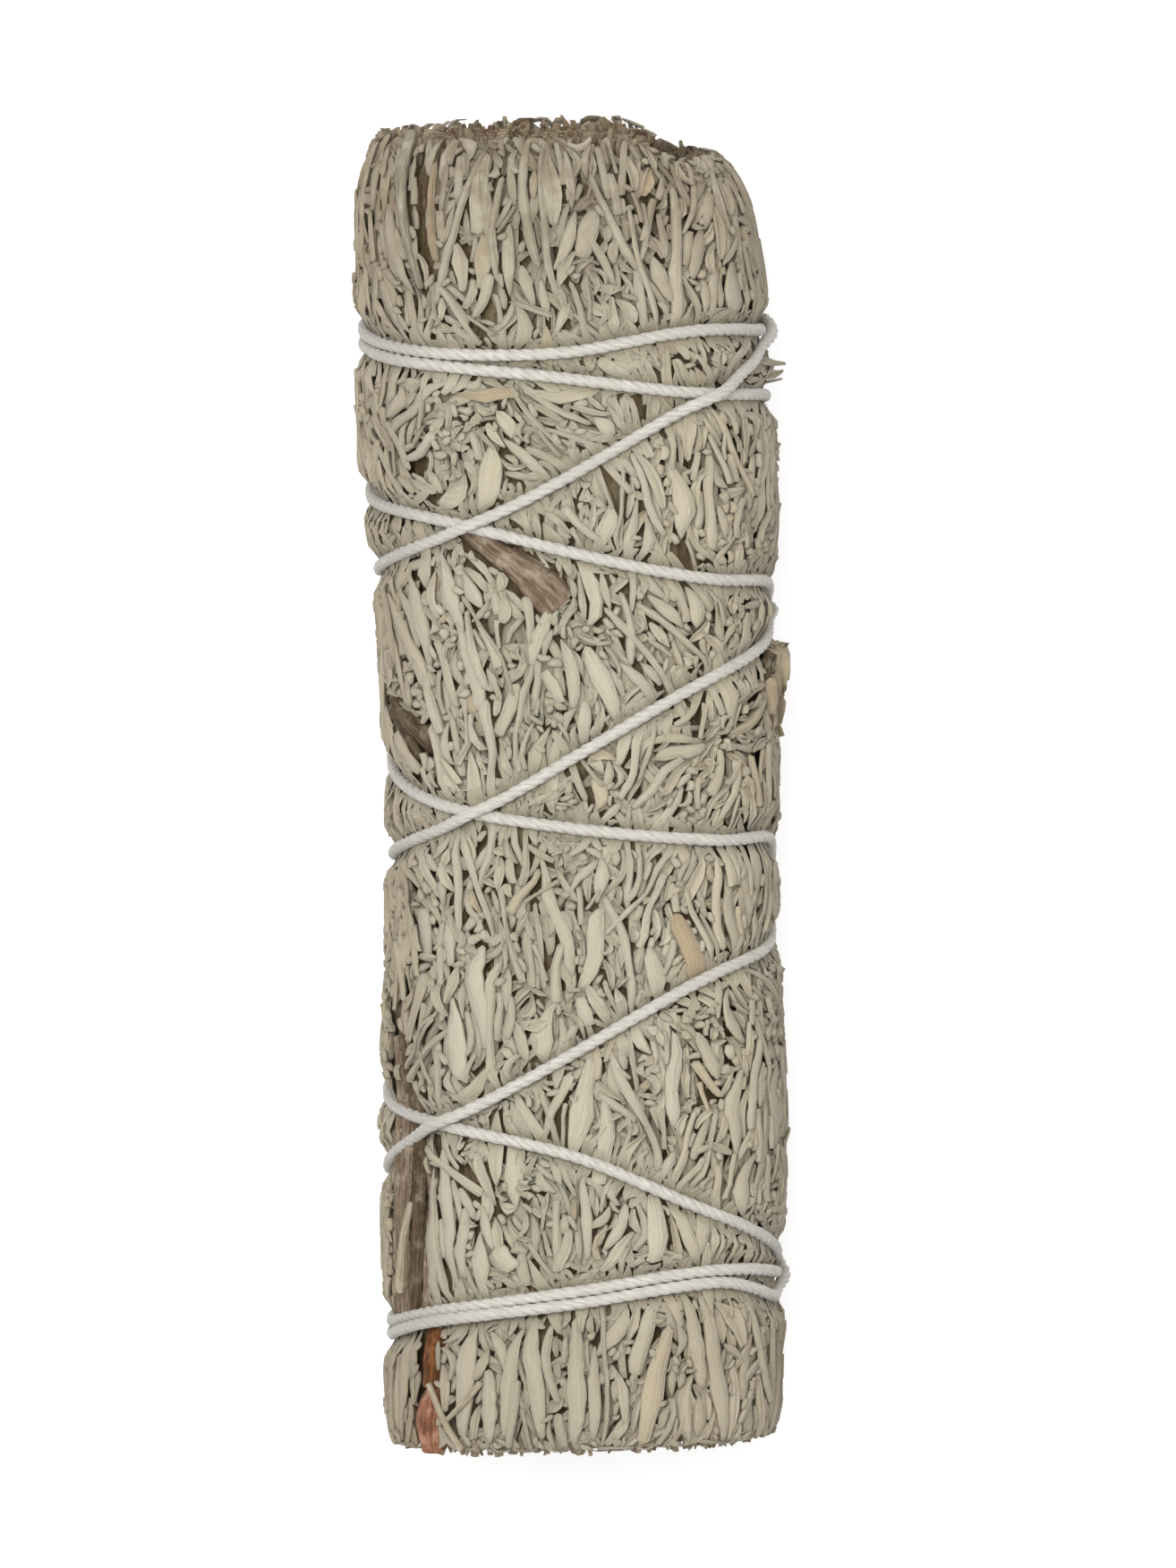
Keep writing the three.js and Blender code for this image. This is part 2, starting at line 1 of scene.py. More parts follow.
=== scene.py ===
"""A dried sage bunch: leafy sprigs wound with white cotton string, lying on its side.

Lengths are in millimetres until a mesh is finished; meshes and the frame are in metres. +Y points to the top
end of the sprigs and +Z up. Leaves are laid out on a flat sheet first, whose x goes round the bunch, y along
it and z outwards, and the sheet is then rolled up.
"""
import json
import math

import bpy
import numpy as np
from mathutils import Matrix, Vector

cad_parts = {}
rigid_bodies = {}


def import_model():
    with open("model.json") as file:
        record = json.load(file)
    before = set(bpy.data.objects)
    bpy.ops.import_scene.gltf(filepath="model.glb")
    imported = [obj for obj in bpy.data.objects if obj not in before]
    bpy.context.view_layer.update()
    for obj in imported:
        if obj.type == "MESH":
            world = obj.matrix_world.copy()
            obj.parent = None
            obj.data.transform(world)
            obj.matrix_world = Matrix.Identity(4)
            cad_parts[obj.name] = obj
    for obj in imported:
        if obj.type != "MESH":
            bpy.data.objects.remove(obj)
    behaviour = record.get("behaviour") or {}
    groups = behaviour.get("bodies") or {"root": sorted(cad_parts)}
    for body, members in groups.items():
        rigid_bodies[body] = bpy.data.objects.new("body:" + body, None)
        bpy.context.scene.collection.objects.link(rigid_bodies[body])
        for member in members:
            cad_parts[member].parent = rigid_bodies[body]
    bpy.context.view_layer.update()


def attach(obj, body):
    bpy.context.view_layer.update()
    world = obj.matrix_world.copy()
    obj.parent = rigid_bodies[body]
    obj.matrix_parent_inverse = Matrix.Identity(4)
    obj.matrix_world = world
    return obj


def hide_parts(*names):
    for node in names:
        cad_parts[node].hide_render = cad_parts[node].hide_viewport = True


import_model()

MM = 0.001

# ---- The bunch's own shape ----

HALF_LENGTH = 53.9
HALF_DEPTH = 12.95
SQUARENESS = 2.25
AXIS = np.array([-1.516, -0.577, 14.55])  # middle of the bunch in the frame
BELLY = {"drop": 12.3, "hollow": 0.12, "from": -39, "to": -36.5}
TOP_ROUNDING = (48, 0.1)
FOOT_ROUNDING = (-51, 0.04)
SHOULDER = {"from": 42, "from side": 0.46, "depth": 2.1, "narrowing": 0.03}
# Distance along the bunch, half its width there, and how far its middle lies towards +X.
GIRTH = np.array([
    (-54.5, 14.45, 0), (-40.9, 14.75, 0.45), (-27.3, 15.0, 0.7), (-13.6, 14.45, 1.0), (0, 14.4, 1.35),
    (13.6, 14.65, 1.25), (27.3, 15.45, 0.9), (40.9, 15.15, 0.55), (54.5, 13.95, 0),
])


def girth_at(along):
    return np.interp(along, GIRTH[:, 0], GIRTH[:, 1]), np.interp(along, GIRTH[:, 0], GIRTH[:, 2])


def end_rounding(along):
    top = np.clip((along - TOP_ROUNDING[0]) / (HALF_LENGTH - TOP_ROUNDING[0]), 0, 1.1)
    foot = np.clip((FOOT_ROUNDING[0] - along) / (FOOT_ROUNDING[0] + HALF_LENGTH), 0, 1.1)
    return 1 - TOP_ROUNDING[1] * top**2 - FOOT_ROUNDING[1] * foot**2


def bunch_radius(angle, along):
    half_width, _ = girth_at(along)
    across, up = np.cos(angle), np.sin(angle)
    powers = np.abs(across / half_width) ** SQUARENESS + np.abs(up / HALF_DEPTH) ** SQUARENESS
    oval = powers ** (-1 / SQUARENESS)
    towards_top = np.clip((along - BELLY["from"]) / (BELLY["to"] - BELLY["from"]), 0, 1)
    belly_drop = BELLY["drop"] - BELLY["hollow"] * towards_top**2 * (3 - 2 * towards_top)
    flattened = belly_drop / np.maximum(-up, 1e-6)
    return np.minimum(oval, flattened) * end_rounding(along)


def shoulder_drop(angle, along):
    """How much shorter the sprigs are on the right, near the top."""
    towards_right = np.clip((np.cos(angle) - SHOULDER["from side"]) / (1 - SHOULDER["from side"]), 0, 1)
    towards_top = np.clip((along - SHOULDER["from"]) / (HALF_LENGTH - SHOULDER["from"]), 0, 1.1)
    return np.minimum(1, 1.6 * towards_right) * towards_top**2


def within(angle, along, share):
    """Points at a share of the bunch's radius."""
    angle, along = np.broadcast_arrays(angle, along)
    drop = shoulder_drop(angle, along)
    reach = bunch_radius(angle, along) * share * (1 - SHOULDER["narrowing"] * drop)
    _, shift = girth_at(along)
    settled = along - SHOULDER["depth"] * drop * share
    return AXIS + np.stack([shift + reach * np.cos(angle), settled, reach * np.sin(angle)], axis=-1)


def outward_at(angle, along):
    step = math.radians(1.5)
    round_way = within(angle + step, along, 1) - within(angle - step, along, 1)
    outward = np.stack([round_way[..., 2], np.zeros_like(round_way[..., 0]), -round_way[..., 0]], axis=-1)
    return outward / np.linalg.norm(outward, axis=-1, keepdims=True)


def on_bunch(angle, along, height):
    """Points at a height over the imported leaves."""
    return within(angle, along, 1) + outward_at(angle, along) * np.asarray(height)[..., None]


# Distance round the bunch at each angle, which is the sheet's x, measured round one section.
MEASURED_AT = 20
ROUND_ANGLES = np.linspace(0, 2 * math.pi, 721)
MEASURED_SECTION = within(ROUND_ANGLES, 0.0 * ROUND_ANGLES + MEASURED_AT, 1)
SECTION_STEPS = np.linalg.norm(np.diff(MEASURED_SECTION, axis=0), axis=1)
ROUND_ARCS = np.concatenate([[0], np.cumsum(SECTION_STEPS)])
PERIMETER = ROUND_ARCS[-1]


def angle_at(arc):
    return np.interp(np.mod(arc, PERIMETER), ROUND_ARCS, ROUND_ANGLES)


def arc_at(angle):
    return np.interp(np.mod(angle, 2 * math.pi), ROUND_ANGLES, ROUND_ARCS)


# ---- The string's way round the bunch ----

STRING_LIFT = 1.08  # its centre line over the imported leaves
STRING_BELLY_LIFT = 1.68  # the same underneath, where the bunch lies on it
STRING_PASS = 1.0  # least distance between centre lines where turns cross
STRING_REACH = 15  # degrees to each side in which a turn below is looked for
STRING_SAG = 5
SAG_ROUNDS = 900
PLIES = 3
PLY_RADIUS = 0.35
PLY_OFFSET = 0.18
PLY_SIDES = 6
TWIST_PITCH = 3.0
STRING_STEP = 0.3
KNOT = {"angle": -45, "along": 40.5, "lift": 1.9, "size": 0.5, "rise": 0.55, "radius": 15}
STRING_TAILS = [
    [(0, 0, 1.9), (-3, 3.4, 1.7), (-5, 6.6, 1.7), (-8, 9, 1.8)],
    [(0, 0, 1.9), (9, 3, 1.8), (18, 5.4, 1.6), (23, 8.6, 1.7)],
]
# How far along the bunch the string lies, every 45 degrees of its way round: left edge, left shoulder, ridge,
# right shoulder, right edge, right underside, belly, left underside. It starts and ends at the knot.
STRING_START = [KNOT["along"], 39.9, 39.1]
STRING_TURNS = [
    [38.0, 37.2, 37.2, 38.3, 37.3, 36.9, 36.6, 36.4],
    [36.1, 35.3, 34.7, 33.0, 31.9, 30.5, 28.6, 26.6],
    [24.6, 23.4, 20.4, 17.7, 16.1, 10.5, 7.6, 4.9],
    [2.3, -0.5, -2.2, -3.9, -5.3, -14.5, -18.4, -21.8],
    [-24.9, -26.4, -29.6, -34.7, -38.4, -39.6, -40.8, -42.0],
    [-43.2, -41.4, -39.7, -39.0, -40.4, -41.5, -42.7, -43.9],
    [-45.1, -43.3, -41.6, -40.9, -42.7, -36.5, -34.5, -32.6],
    [-30.9, -26.2, -20.5, -15.0, -12.6, -8.0, -7.0, -6.0],
    [-5.1, -2.0, 4.0, 9.6, 12.2, 15.5, 16.8, 17.7],
    [18.4, 21.6, 26.6, 32.3, 36.6, KNOT["along"]],
]
# The string here is thinner than the part's plain one, so turns that lie side by side are drawn together:
# how far each of the same places moves along the bunch.
DRAWN_TOGETHER = [
    [0.2, -0.3, -0.4, -0.2, 0, 0.2, 0.4, 0.6],
    [0.9, 0.6, 0, 0, 0, 0, 0, 0],
    [0, -0.3, -0.1, 0, 0, 0, 0, 0],
    [0, -0.2, -0.3, 0, 0, 0, 0, 0],
    [0, -0.6, -0.1, 0, -0.5, -0.5, -0.5, -0.5],
    [-0.6, -0.6, -0.8, -0.4, -0.2, -0.1, 0, 0],
    [0.2, 0.5, 0.1, 0.5, 0.4, 0, 0, 0],
    [0, -0.1, 0, 0, 0, 0, 0, 0],
    [0, 0, -0.2, -0.2, 0.4, 0, 0, 0],
    [0, 0, 0, 0, 0, 0],
]
NODE_STEP = 45
ROUTE_START = -135
TURN_NODES = np.concatenate(STRING_TURNS) + np.concatenate(DRAWN_TOGETHER)
ROUTE_NODES = np.concatenate([STRING_START, TURN_NODES])
ROUTE_END = ROUTE_START + NODE_STEP * (len(ROUTE_NODES) - 1)


def smooth_through(nodes, places):
    """A curve through evenly spaced nodes, read at places counted in nodes from the first."""
    nodes = np.asarray(nodes, float)
    first = np.clip(np.floor(places).astype(int), 0, len(nodes) - 2)
    t = np.asarray(places) - first
    if nodes.ndim > 1:
        t = t[:, None]
    before, low = nodes[np.maximum(first - 1, 0)], nodes[first]
    high, after = nodes[first + 1], nodes[np.minimum(first + 2, len(nodes) - 1)]
    leaving, arriving = (high - before) / 2, (after - low) / 2
    return (
        (2 * low - 2 * high + leaving + arriving) * t**3
        + (3 * high - 3 * low - 2 * leaving - arriving) * t**2
        + leaving * t
        + low
    )


ROUTE_TURNED = np.arange(ROUTE_START, ROUTE_END + 0.5, 1.0)
ROUTE_ALONG = smooth_through(ROUTE_NODES, (ROUTE_TURNED - ROUTE_START) / NODE_STEP)
ARC_PER_DEGREE = PERIMETER / 360
ROUTE_SLOPE = np.gradient(ROUTE_ALONG) / ARC_PER_DEGREE


def string_rises():
    """How far each sample of the route is lifted to pass over the turns laid before it."""
    needed = np.zeros(len(ROUTE_TURNED))
    for turn in range(1, len(STRING_TURNS) + 1):
        back = 360 * turn
        here = ROUTE_ALONG[back:]
        for offset in range(-STRING_REACH, STRING_REACH + 1):
            under = np.clip(np.arange(len(here)) + offset, 0, len(ROUTE_ALONG) - 1)
            apart = np.hypot(here - ROUTE_ALONG[under], offset * ARC_PER_DEGREE)
            rise = np.sqrt(np.maximum(0, STRING_PASS**2 - apart**2))
            needed[back:] = np.maximum(needed[back:], rise)
    rises = needed.copy()
    sag = ARC_PER_DEGREE**2 / (2 * STRING_SAG)
    for _ in range(SAG_ROUNDS):
        rises[1:-1] = np.maximum(needed[1:-1], (rises[:-2] + rises[2:]) / 2 - sag)
    return rises


ROUTE_RISE = string_rises()


def string_distance(angle, along):
    """Distance on the sheet from the string's centre line."""
    turned = 180 - np.degrees(np.mod(angle, 2 * math.pi))
    nearest = np.full(np.shape(along), 99.0)
    for turn in range(-1, len(STRING_TURNS) + 1):
        at = turned + 360 * turn
        gap = np.abs(along - np.interp(at, ROUTE_TURNED, ROUTE_ALONG))
        gap = gap / np.sqrt(1 + np.interp(at, ROUTE_TURNED, ROUTE_SLOPE) ** 2)
        held = (at >= ROUTE_START) & (at <= ROUTE_END)
        nearest = np.where(held, np.minimum(nearest, gap), nearest)
    return nearest


# ---- Meshes ----

def mesh_object(name, points, faces, materials=(), attributes=None, material_index=None, smooth=None):
    mesh = bpy.data.meshes.new(name)
    mesh.from_pydata(np.asarray(points, float).tolist(), [], faces)
    for material in materials:
        mesh.materials.append(material)
    for attribute, values in (attributes or {}).items():
        stored = mesh.attributes.new(attribute, "FLOAT", "POINT")
        stored.data.foreach_set("value", np.asarray(values, np.float32))
    if material_index is not None:
        mesh.polygons.foreach_set("material_index", np.asarray(material_index, np.int32))
    mesh.polygons.foreach_set("use_smooth", np.ones(len(mesh.polygons), bool) if smooth is None else smooth)
    mesh.update()
    piece = bpy.data.objects.new(name, mesh)
    bpy.context.scene.collection.objects.link(piece)
    return piece


def points_of(mesh):
    places = np.empty(3 * len(mesh.vertices), np.float32)
    mesh.vertices.foreach_get("co", places)
    return places.reshape(-1, 3).astype(float)


def values_of(mesh, attribute):
    values = np.zeros(len(mesh.vertices), np.float32)
    if attribute in mesh.attributes:
        mesh.attributes[attribute].data.foreach_get("value", values)
    return values


def faces_of(mesh):
    return [tuple(polygon.vertices) for polygon in mesh.polygons]


def smooth_faces_of(mesh):
    return [polygon.use_smooth for polygon in mesh.polygons]


def joined(name, parts, materials, attribute_names):
    """One mesh object from parts of points, faces, material number, attribute values and smooth faces."""
    points, faces, numbers, smooth = [], [], [], []
    values = {attribute: [] for attribute in attribute_names}
    start = 0
    for part_points, part_faces, number, part_values, *part_smooth in parts:
        points.append(part_points)
        faces.extend(tuple(start + corner for corner in face) for face in part_faces)
        numbers.extend([number] * len(part_faces))
        smooth.extend(part_smooth[0] if part_smooth else [True] * len(part_faces))
        for attribute in attribute_names:
            values[attribute].append(part_values.get(attribute, np.zeros(len(part_points))))
        start += len(part_points)
    return mesh_object(
        name, np.concatenate(points) * MM, faces, materials,
        {attribute: np.concatenate(found) for attribute, found in values.items()}, numbers, smooth,
    )


def tube_faces(rings, size):
    """Faces of a closed tube: rings of equal size, and a point at each end after them."""
    faces = []
    for ring in range(rings - 1):
        for i in range(size):
            a, b = ring * size + i, ring * size + (i + 1) % size
            faces.append((a, b, b + size, a + size))
    near, far = rings * size, rings * size + 1
    last = (rings - 1) * size
    for i in range(size):
        faces.append((near, (i + 1) % size, i))
        faces.append((far, last + i, last + (i + 1) % size))
    return faces


# ---- Shapes of leaves, stems and crumbs, one unit long and wide ----

UPPER_FROM = -0.01  # a section's points over this height are on its smooth upper side
# Sections, as shares of the half width, and heights.
HOLLOW_SECTION = [(-1, -0.14), (-0.9, 0.1), (0, 0.0), (0.9, 0.1), (1, -0.14), (0, -0.34)]
DOMED_SECTION = [(-1, -0.18), (-0.82, 0.04), (0, 0.12), (0.82, 0.04), (1, -0.18), (0, -0.34)]
FOLDED_SECTION = [(-1, 0.06), (-0.86, 0.24), (-0.1, -0.12), (0.8, 0.16), (1, -0.05), (0, -0.42)]
RIBBED_SECTION = [(-1, -0.2), (-0.5, 0.08), (-0.15, -0.02), (0.5, 0.12), (1, -0.18), (0, -0.36)]
STEM_SECTION = [(-1, -0.15), (-0.55, 0.24), (0.55, 0.24), (1, -0.15), (0, -0.4)]
LUMP_SECTION = [(-1, -0.05), (-0.35, 0.36), (0.5, 0.3), (1, -0.1), (0.1, -0.4)]
STUB_SECTION = [(0.5 * math.sin(turn), 0.5 * math.cos(turn)) for turn in np.linspace(0, 2 * math.pi, 8)[:-1]]
LEAF_RINGS = (0.04, 0.2, 0.4, 0.6, 0.8, 0.95)
BIT_RINGS = (0.06, 0.38, 0.7, 0.94)
STEM_RINGS = (0.03, 0.35, 0.68, 0.97)
LUMP_RINGS = (0.12, 0.5, 0.86)
LONG_RINGS = tuple(0.03 + 0.94 * step / 11 for step in range(12))  # close enough to dip under the string


def shape(section, widths, places, bend=0.0, arch=0.0, lean=0.0, twist=0.0, ripple=0.0,
          start=(0, 0, 0), size=1.0, turned=0.0):
    """One closed leaf or stem. widths: half width at each place along it; bend: sideways bow; arch: upward
    bow; lean: sideways shift of its tip; twist: how far its edges tip over, one way at each end; ripple:
    waves in its edges; start, size and turned: where it stands within a group."""
    points, across, lengthwise = [], [], []

    def middle(t):
        bow = 1 - (2 * t - 1) ** 2
        return bend * bow + lean * t, t - 0.5, arch * bow

    def put(x, y, z, side, t):
        sine, cosine = math.sin(turned), math.cos(turned)
        points.append((
            start[0] + size * (x * cosine + y * sine),
            start[1] + size * (y * cosine - x * sine),
            start[2] + size * z,
        ))
        across.append(side)
        lengthwise.append(t)

    for t, width in zip(places, widths):
        x, y, z = middle(t)
        for side, height in section:
            tipped = side * twist * (2 * t - 1) + ripple * abs(side) * math.sin(9 * t + 2.5 * side)
            put(x + width * side, y, z + tipped + height * (0.5 + 0.5 * width / max(widths)), side, t)
    for t in (0.0, 1.0):
        x, y, z = middle(t)
        put(x, y, z - 0.15, 0, t)
    faces = tube_faces(len(places), len(section))
    rounded = section is LUMP_SECTION
    edges = zip(section, section[1:] + section[:1])
    upper = [rounded or min(low[1], high[1]) > UPPER_FROM for low, high in edges]
    smooth = upper * (len(places) - 1)
    smooth += [rounded] * (len(faces) - len(smooth))
    return points, faces, {"across": across, "lengthwise": lengthwise}, smooth


def grouped(*members):
    """Several closed shapes as one."""
    points, faces, values, smooth = [], [], {"across": [], "lengthwise": []}, []
    for member_points, member_faces, member_values, member_smooth in members:
        faces.extend(tuple(len(points) + corner for corner in face) for face in member_faces)
        points.extend(member_points)
        smooth.extend(member_smooth)
        for key in values:
            values[key].extend(member_values[key])
    return points, faces, values, smooth


def leaf_widths(belly, root=0.1, tip=0.06, fullness=0.9):
    """Half widths of a leaf that is widest at belly."""
    widths = []
    for t in LEAF_RINGS:
        if t < belly:
            share = math.sin(0.5 * math.pi * t / belly)
            widths.append(root + (0.5 - root) * share**fullness)
        else:
            share = math.cos(0.5 * math.pi * (t - belly) / (1 - belly))
            widths.append(tip + (0.5 - tip) * share**fullness)
    return widths


BLADE_WIDTHS = [0.3, 0.45, 0.5, 0.48, 0.42, 0.26]
STEM_WIDTHS = [0.42, 0.5, 0.46, 0.38]
BIT_WIDTHS = [0.26, 0.5, 0.46, 0.2]
LONG_BLADE_WIDTHS = [0.24, 0.38, 0.46, 0.5, 0.5, 0.5, 0.48, 0.48, 0.45, 0.4, 0.32, 0.2]
LONG_STEM_WIDTHS = [0.36, 0.44, 0.5, 0.48, 0.46, 0.5, 0.46, 0.44, 0.46, 0.42, 0.38, 0.3]
FORK_WIDTHS = [0.15, 0.15, 0.14, 0.13, 0.12, 0.1]
ARM_WIDTHS = [0.13, 0.12, 0.12, 0.12]
# Each kind's section, half widths, places along it and way of growing.
KINDS = {
    "leaf_plain": (HOLLOW_SECTION, leaf_widths(0.55), LEAF_RINGS, {}),
    "leaf_domed": (DOMED_SECTION, leaf_widths(0.6, 0.2), LEAF_RINGS, {"lean": 0.2}),
    "leaf_bowed": (HOLLOW_SECTION, leaf_widths(0.45), LEAF_RINGS, {"bend": 0.6}),
    "leaf_bowed_back": (RIBBED_SECTION, leaf_widths(0.6), LEAF_RINGS, {"bend": -0.6}),
    "leaf_blunt": (HOLLOW_SECTION, leaf_widths(0.45, 0.3, 0.24, 0.75), LEAF_RINGS, {"bend": 0.1}),
    "leaf_folded": (FOLDED_SECTION, leaf_widths(0.5, 0.16), LEAF_RINGS, {"bend": -0.2}),
    "leaf_curled": (FOLDED_SECTION, leaf_widths(0.4, 0.2, 0.14), LEAF_RINGS, {"bend": 1.1}),
    "leaf_ribbed": (RIBBED_SECTION, leaf_widths(0.5, 0.14), LEAF_RINGS, {"arch": 0.15}),
    "blade": (HOLLOW_SECTION, BLADE_WIDTHS, LEAF_RINGS, {"bend": 0.12}),
    "blade_ribbed": (RIBBED_SECTION, BLADE_WIDTHS, LEAF_RINGS, {"lean": 0.2}),
    "bit_plain": (HOLLOW_SECTION, BIT_WIDTHS, BIT_RINGS, {}),
    "bit_folded": (FOLDED_SECTION, BIT_WIDTHS, BIT_RINGS, {"bend": 0.3}),
    "bit_curled": (RIBBED_SECTION, BIT_WIDTHS, BIT_RINGS, {"bend": -0.9}),
    "stem_plain": (STEM_SECTION, STEM_WIDTHS, STEM_RINGS, {}),
    "stem_bowed": (STEM_SECTION, STEM_WIDTHS, STEM_RINGS, {"bend": 0.9}),
    "stem_bowed_back": (STEM_SECTION, STEM_WIDTHS[::-1], STEM_RINGS, {"bend": -0.9}),
    "long_blade": (HOLLOW_SECTION, LONG_BLADE_WIDTHS, LONG_RINGS, {"bend": 0.2}),
    "long_stem": (STEM_SECTION, LONG_STEM_WIDTHS, LONG_RINGS, {"bend": 0.6}),
    "long_stem_back": (STEM_SECTION, LONG_STEM_WIDTHS[::-1], LONG_RINGS, {"bend": -0.6}),
    "crumb_round": (LUMP_SECTION, [0.38, 0.5, 0.36], LUMP_RINGS, {}),
    "crumb_long": (LUMP_SECTION, [0.3, 0.5, 0.42], LUMP_RINGS, {"bend": 0.15}),
    "crumb_bent": (LUMP_SECTION, [0.42, 0.5, 0.3], LUMP_RINGS, {"bend": -0.35}),
}
VARIANTS = 4  # of each kind, each uneven in its own way


def variant_of(kind, draw):
    section, widths, rings, growing = KINDS[kind]
    growing = dict(growing)
    growing["bend"] = growing.get("bend", 0) + draw.normal(0, 0.14)
    growing["lean"] = growing.get("lean", 0) + draw.normal(0, 0.12)
    uneven = [width * draw.uniform(0.84, 1.1) for width in widths]
    leafy = section is not STEM_SECTION and section is not LUMP_SECTION
    return shape(
        section, uneven, rings, twist=draw.normal(0, 0.12) if leafy else 0.0,
        ripple=draw.uniform(0.03, 0.09) if leafy else 0.0, **growing,
    )


def fork(draw):
    """A thin stem with an arm."""
    side = draw.choice([-1, 1])
    return grouped(
        shape(STEM_SECTION, FORK_WIDTHS, LEAF_RINGS, lean=-0.3 * side),
        shape(
            STEM_SECTION, ARM_WIDTHS, STEM_RINGS, start=(0.12 * side, 0.2, 0.05), size=0.62, lean=0.5 * side,
        ),
    )


def curl_cluster(draw):
    """Small folded bits turned every way, as at a dried flower head."""
    members = []
    for place in range(5):
        start = (draw.uniform(-0.3, 0.3), -0.36 + 0.18 * place, draw.uniform(0, 0.12))
        widths = [0.16, 0.3, 0.26, 0.12]
        members.append(shape(
            FOLDED_SECTION, widths, BIT_RINGS, bend=draw.normal(0, 0.2), start=start,
            size=draw.uniform(0.42, 0.6), turned=draw.uniform(0, 2 * math.pi),
        ))
    return grouped(*members)


SHAPES = {"stub": shape(STUB_SECTION, [0.8, 1, 1, 0.94], (0, 0.4, 0.8, 1))}
for variant in range(VARIANTS):
    draw = np.random.default_rng(40 + variant)
    for kind in KINDS:
        SHAPES[f"{kind}.{variant}"] = variant_of(kind, draw)
    SHAPES[f"fork.{variant}"] = fork(draw)
    SHAPES[f"cluster.{variant}"] = curl_cluster(draw)
SHAPE_NAMES = sorted(SHAPES)
SHAPE_NUMBER = {name: number for number, name in enumerate(SHAPE_NAMES)}

shapes = bpy.data.collections.new("sage_shapes")
for name in SHAPE_NAMES:
    points, faces, attributes, smooth = SHAPES[name]
    shape_object = mesh_object(name, points, faces, attributes=attributes, smooth=smooth)
    bpy.context.scene.collection.objects.unlink(shape_object)
    shapes.objects.link(shape_object)


# ---- Twigs among the leaves ----

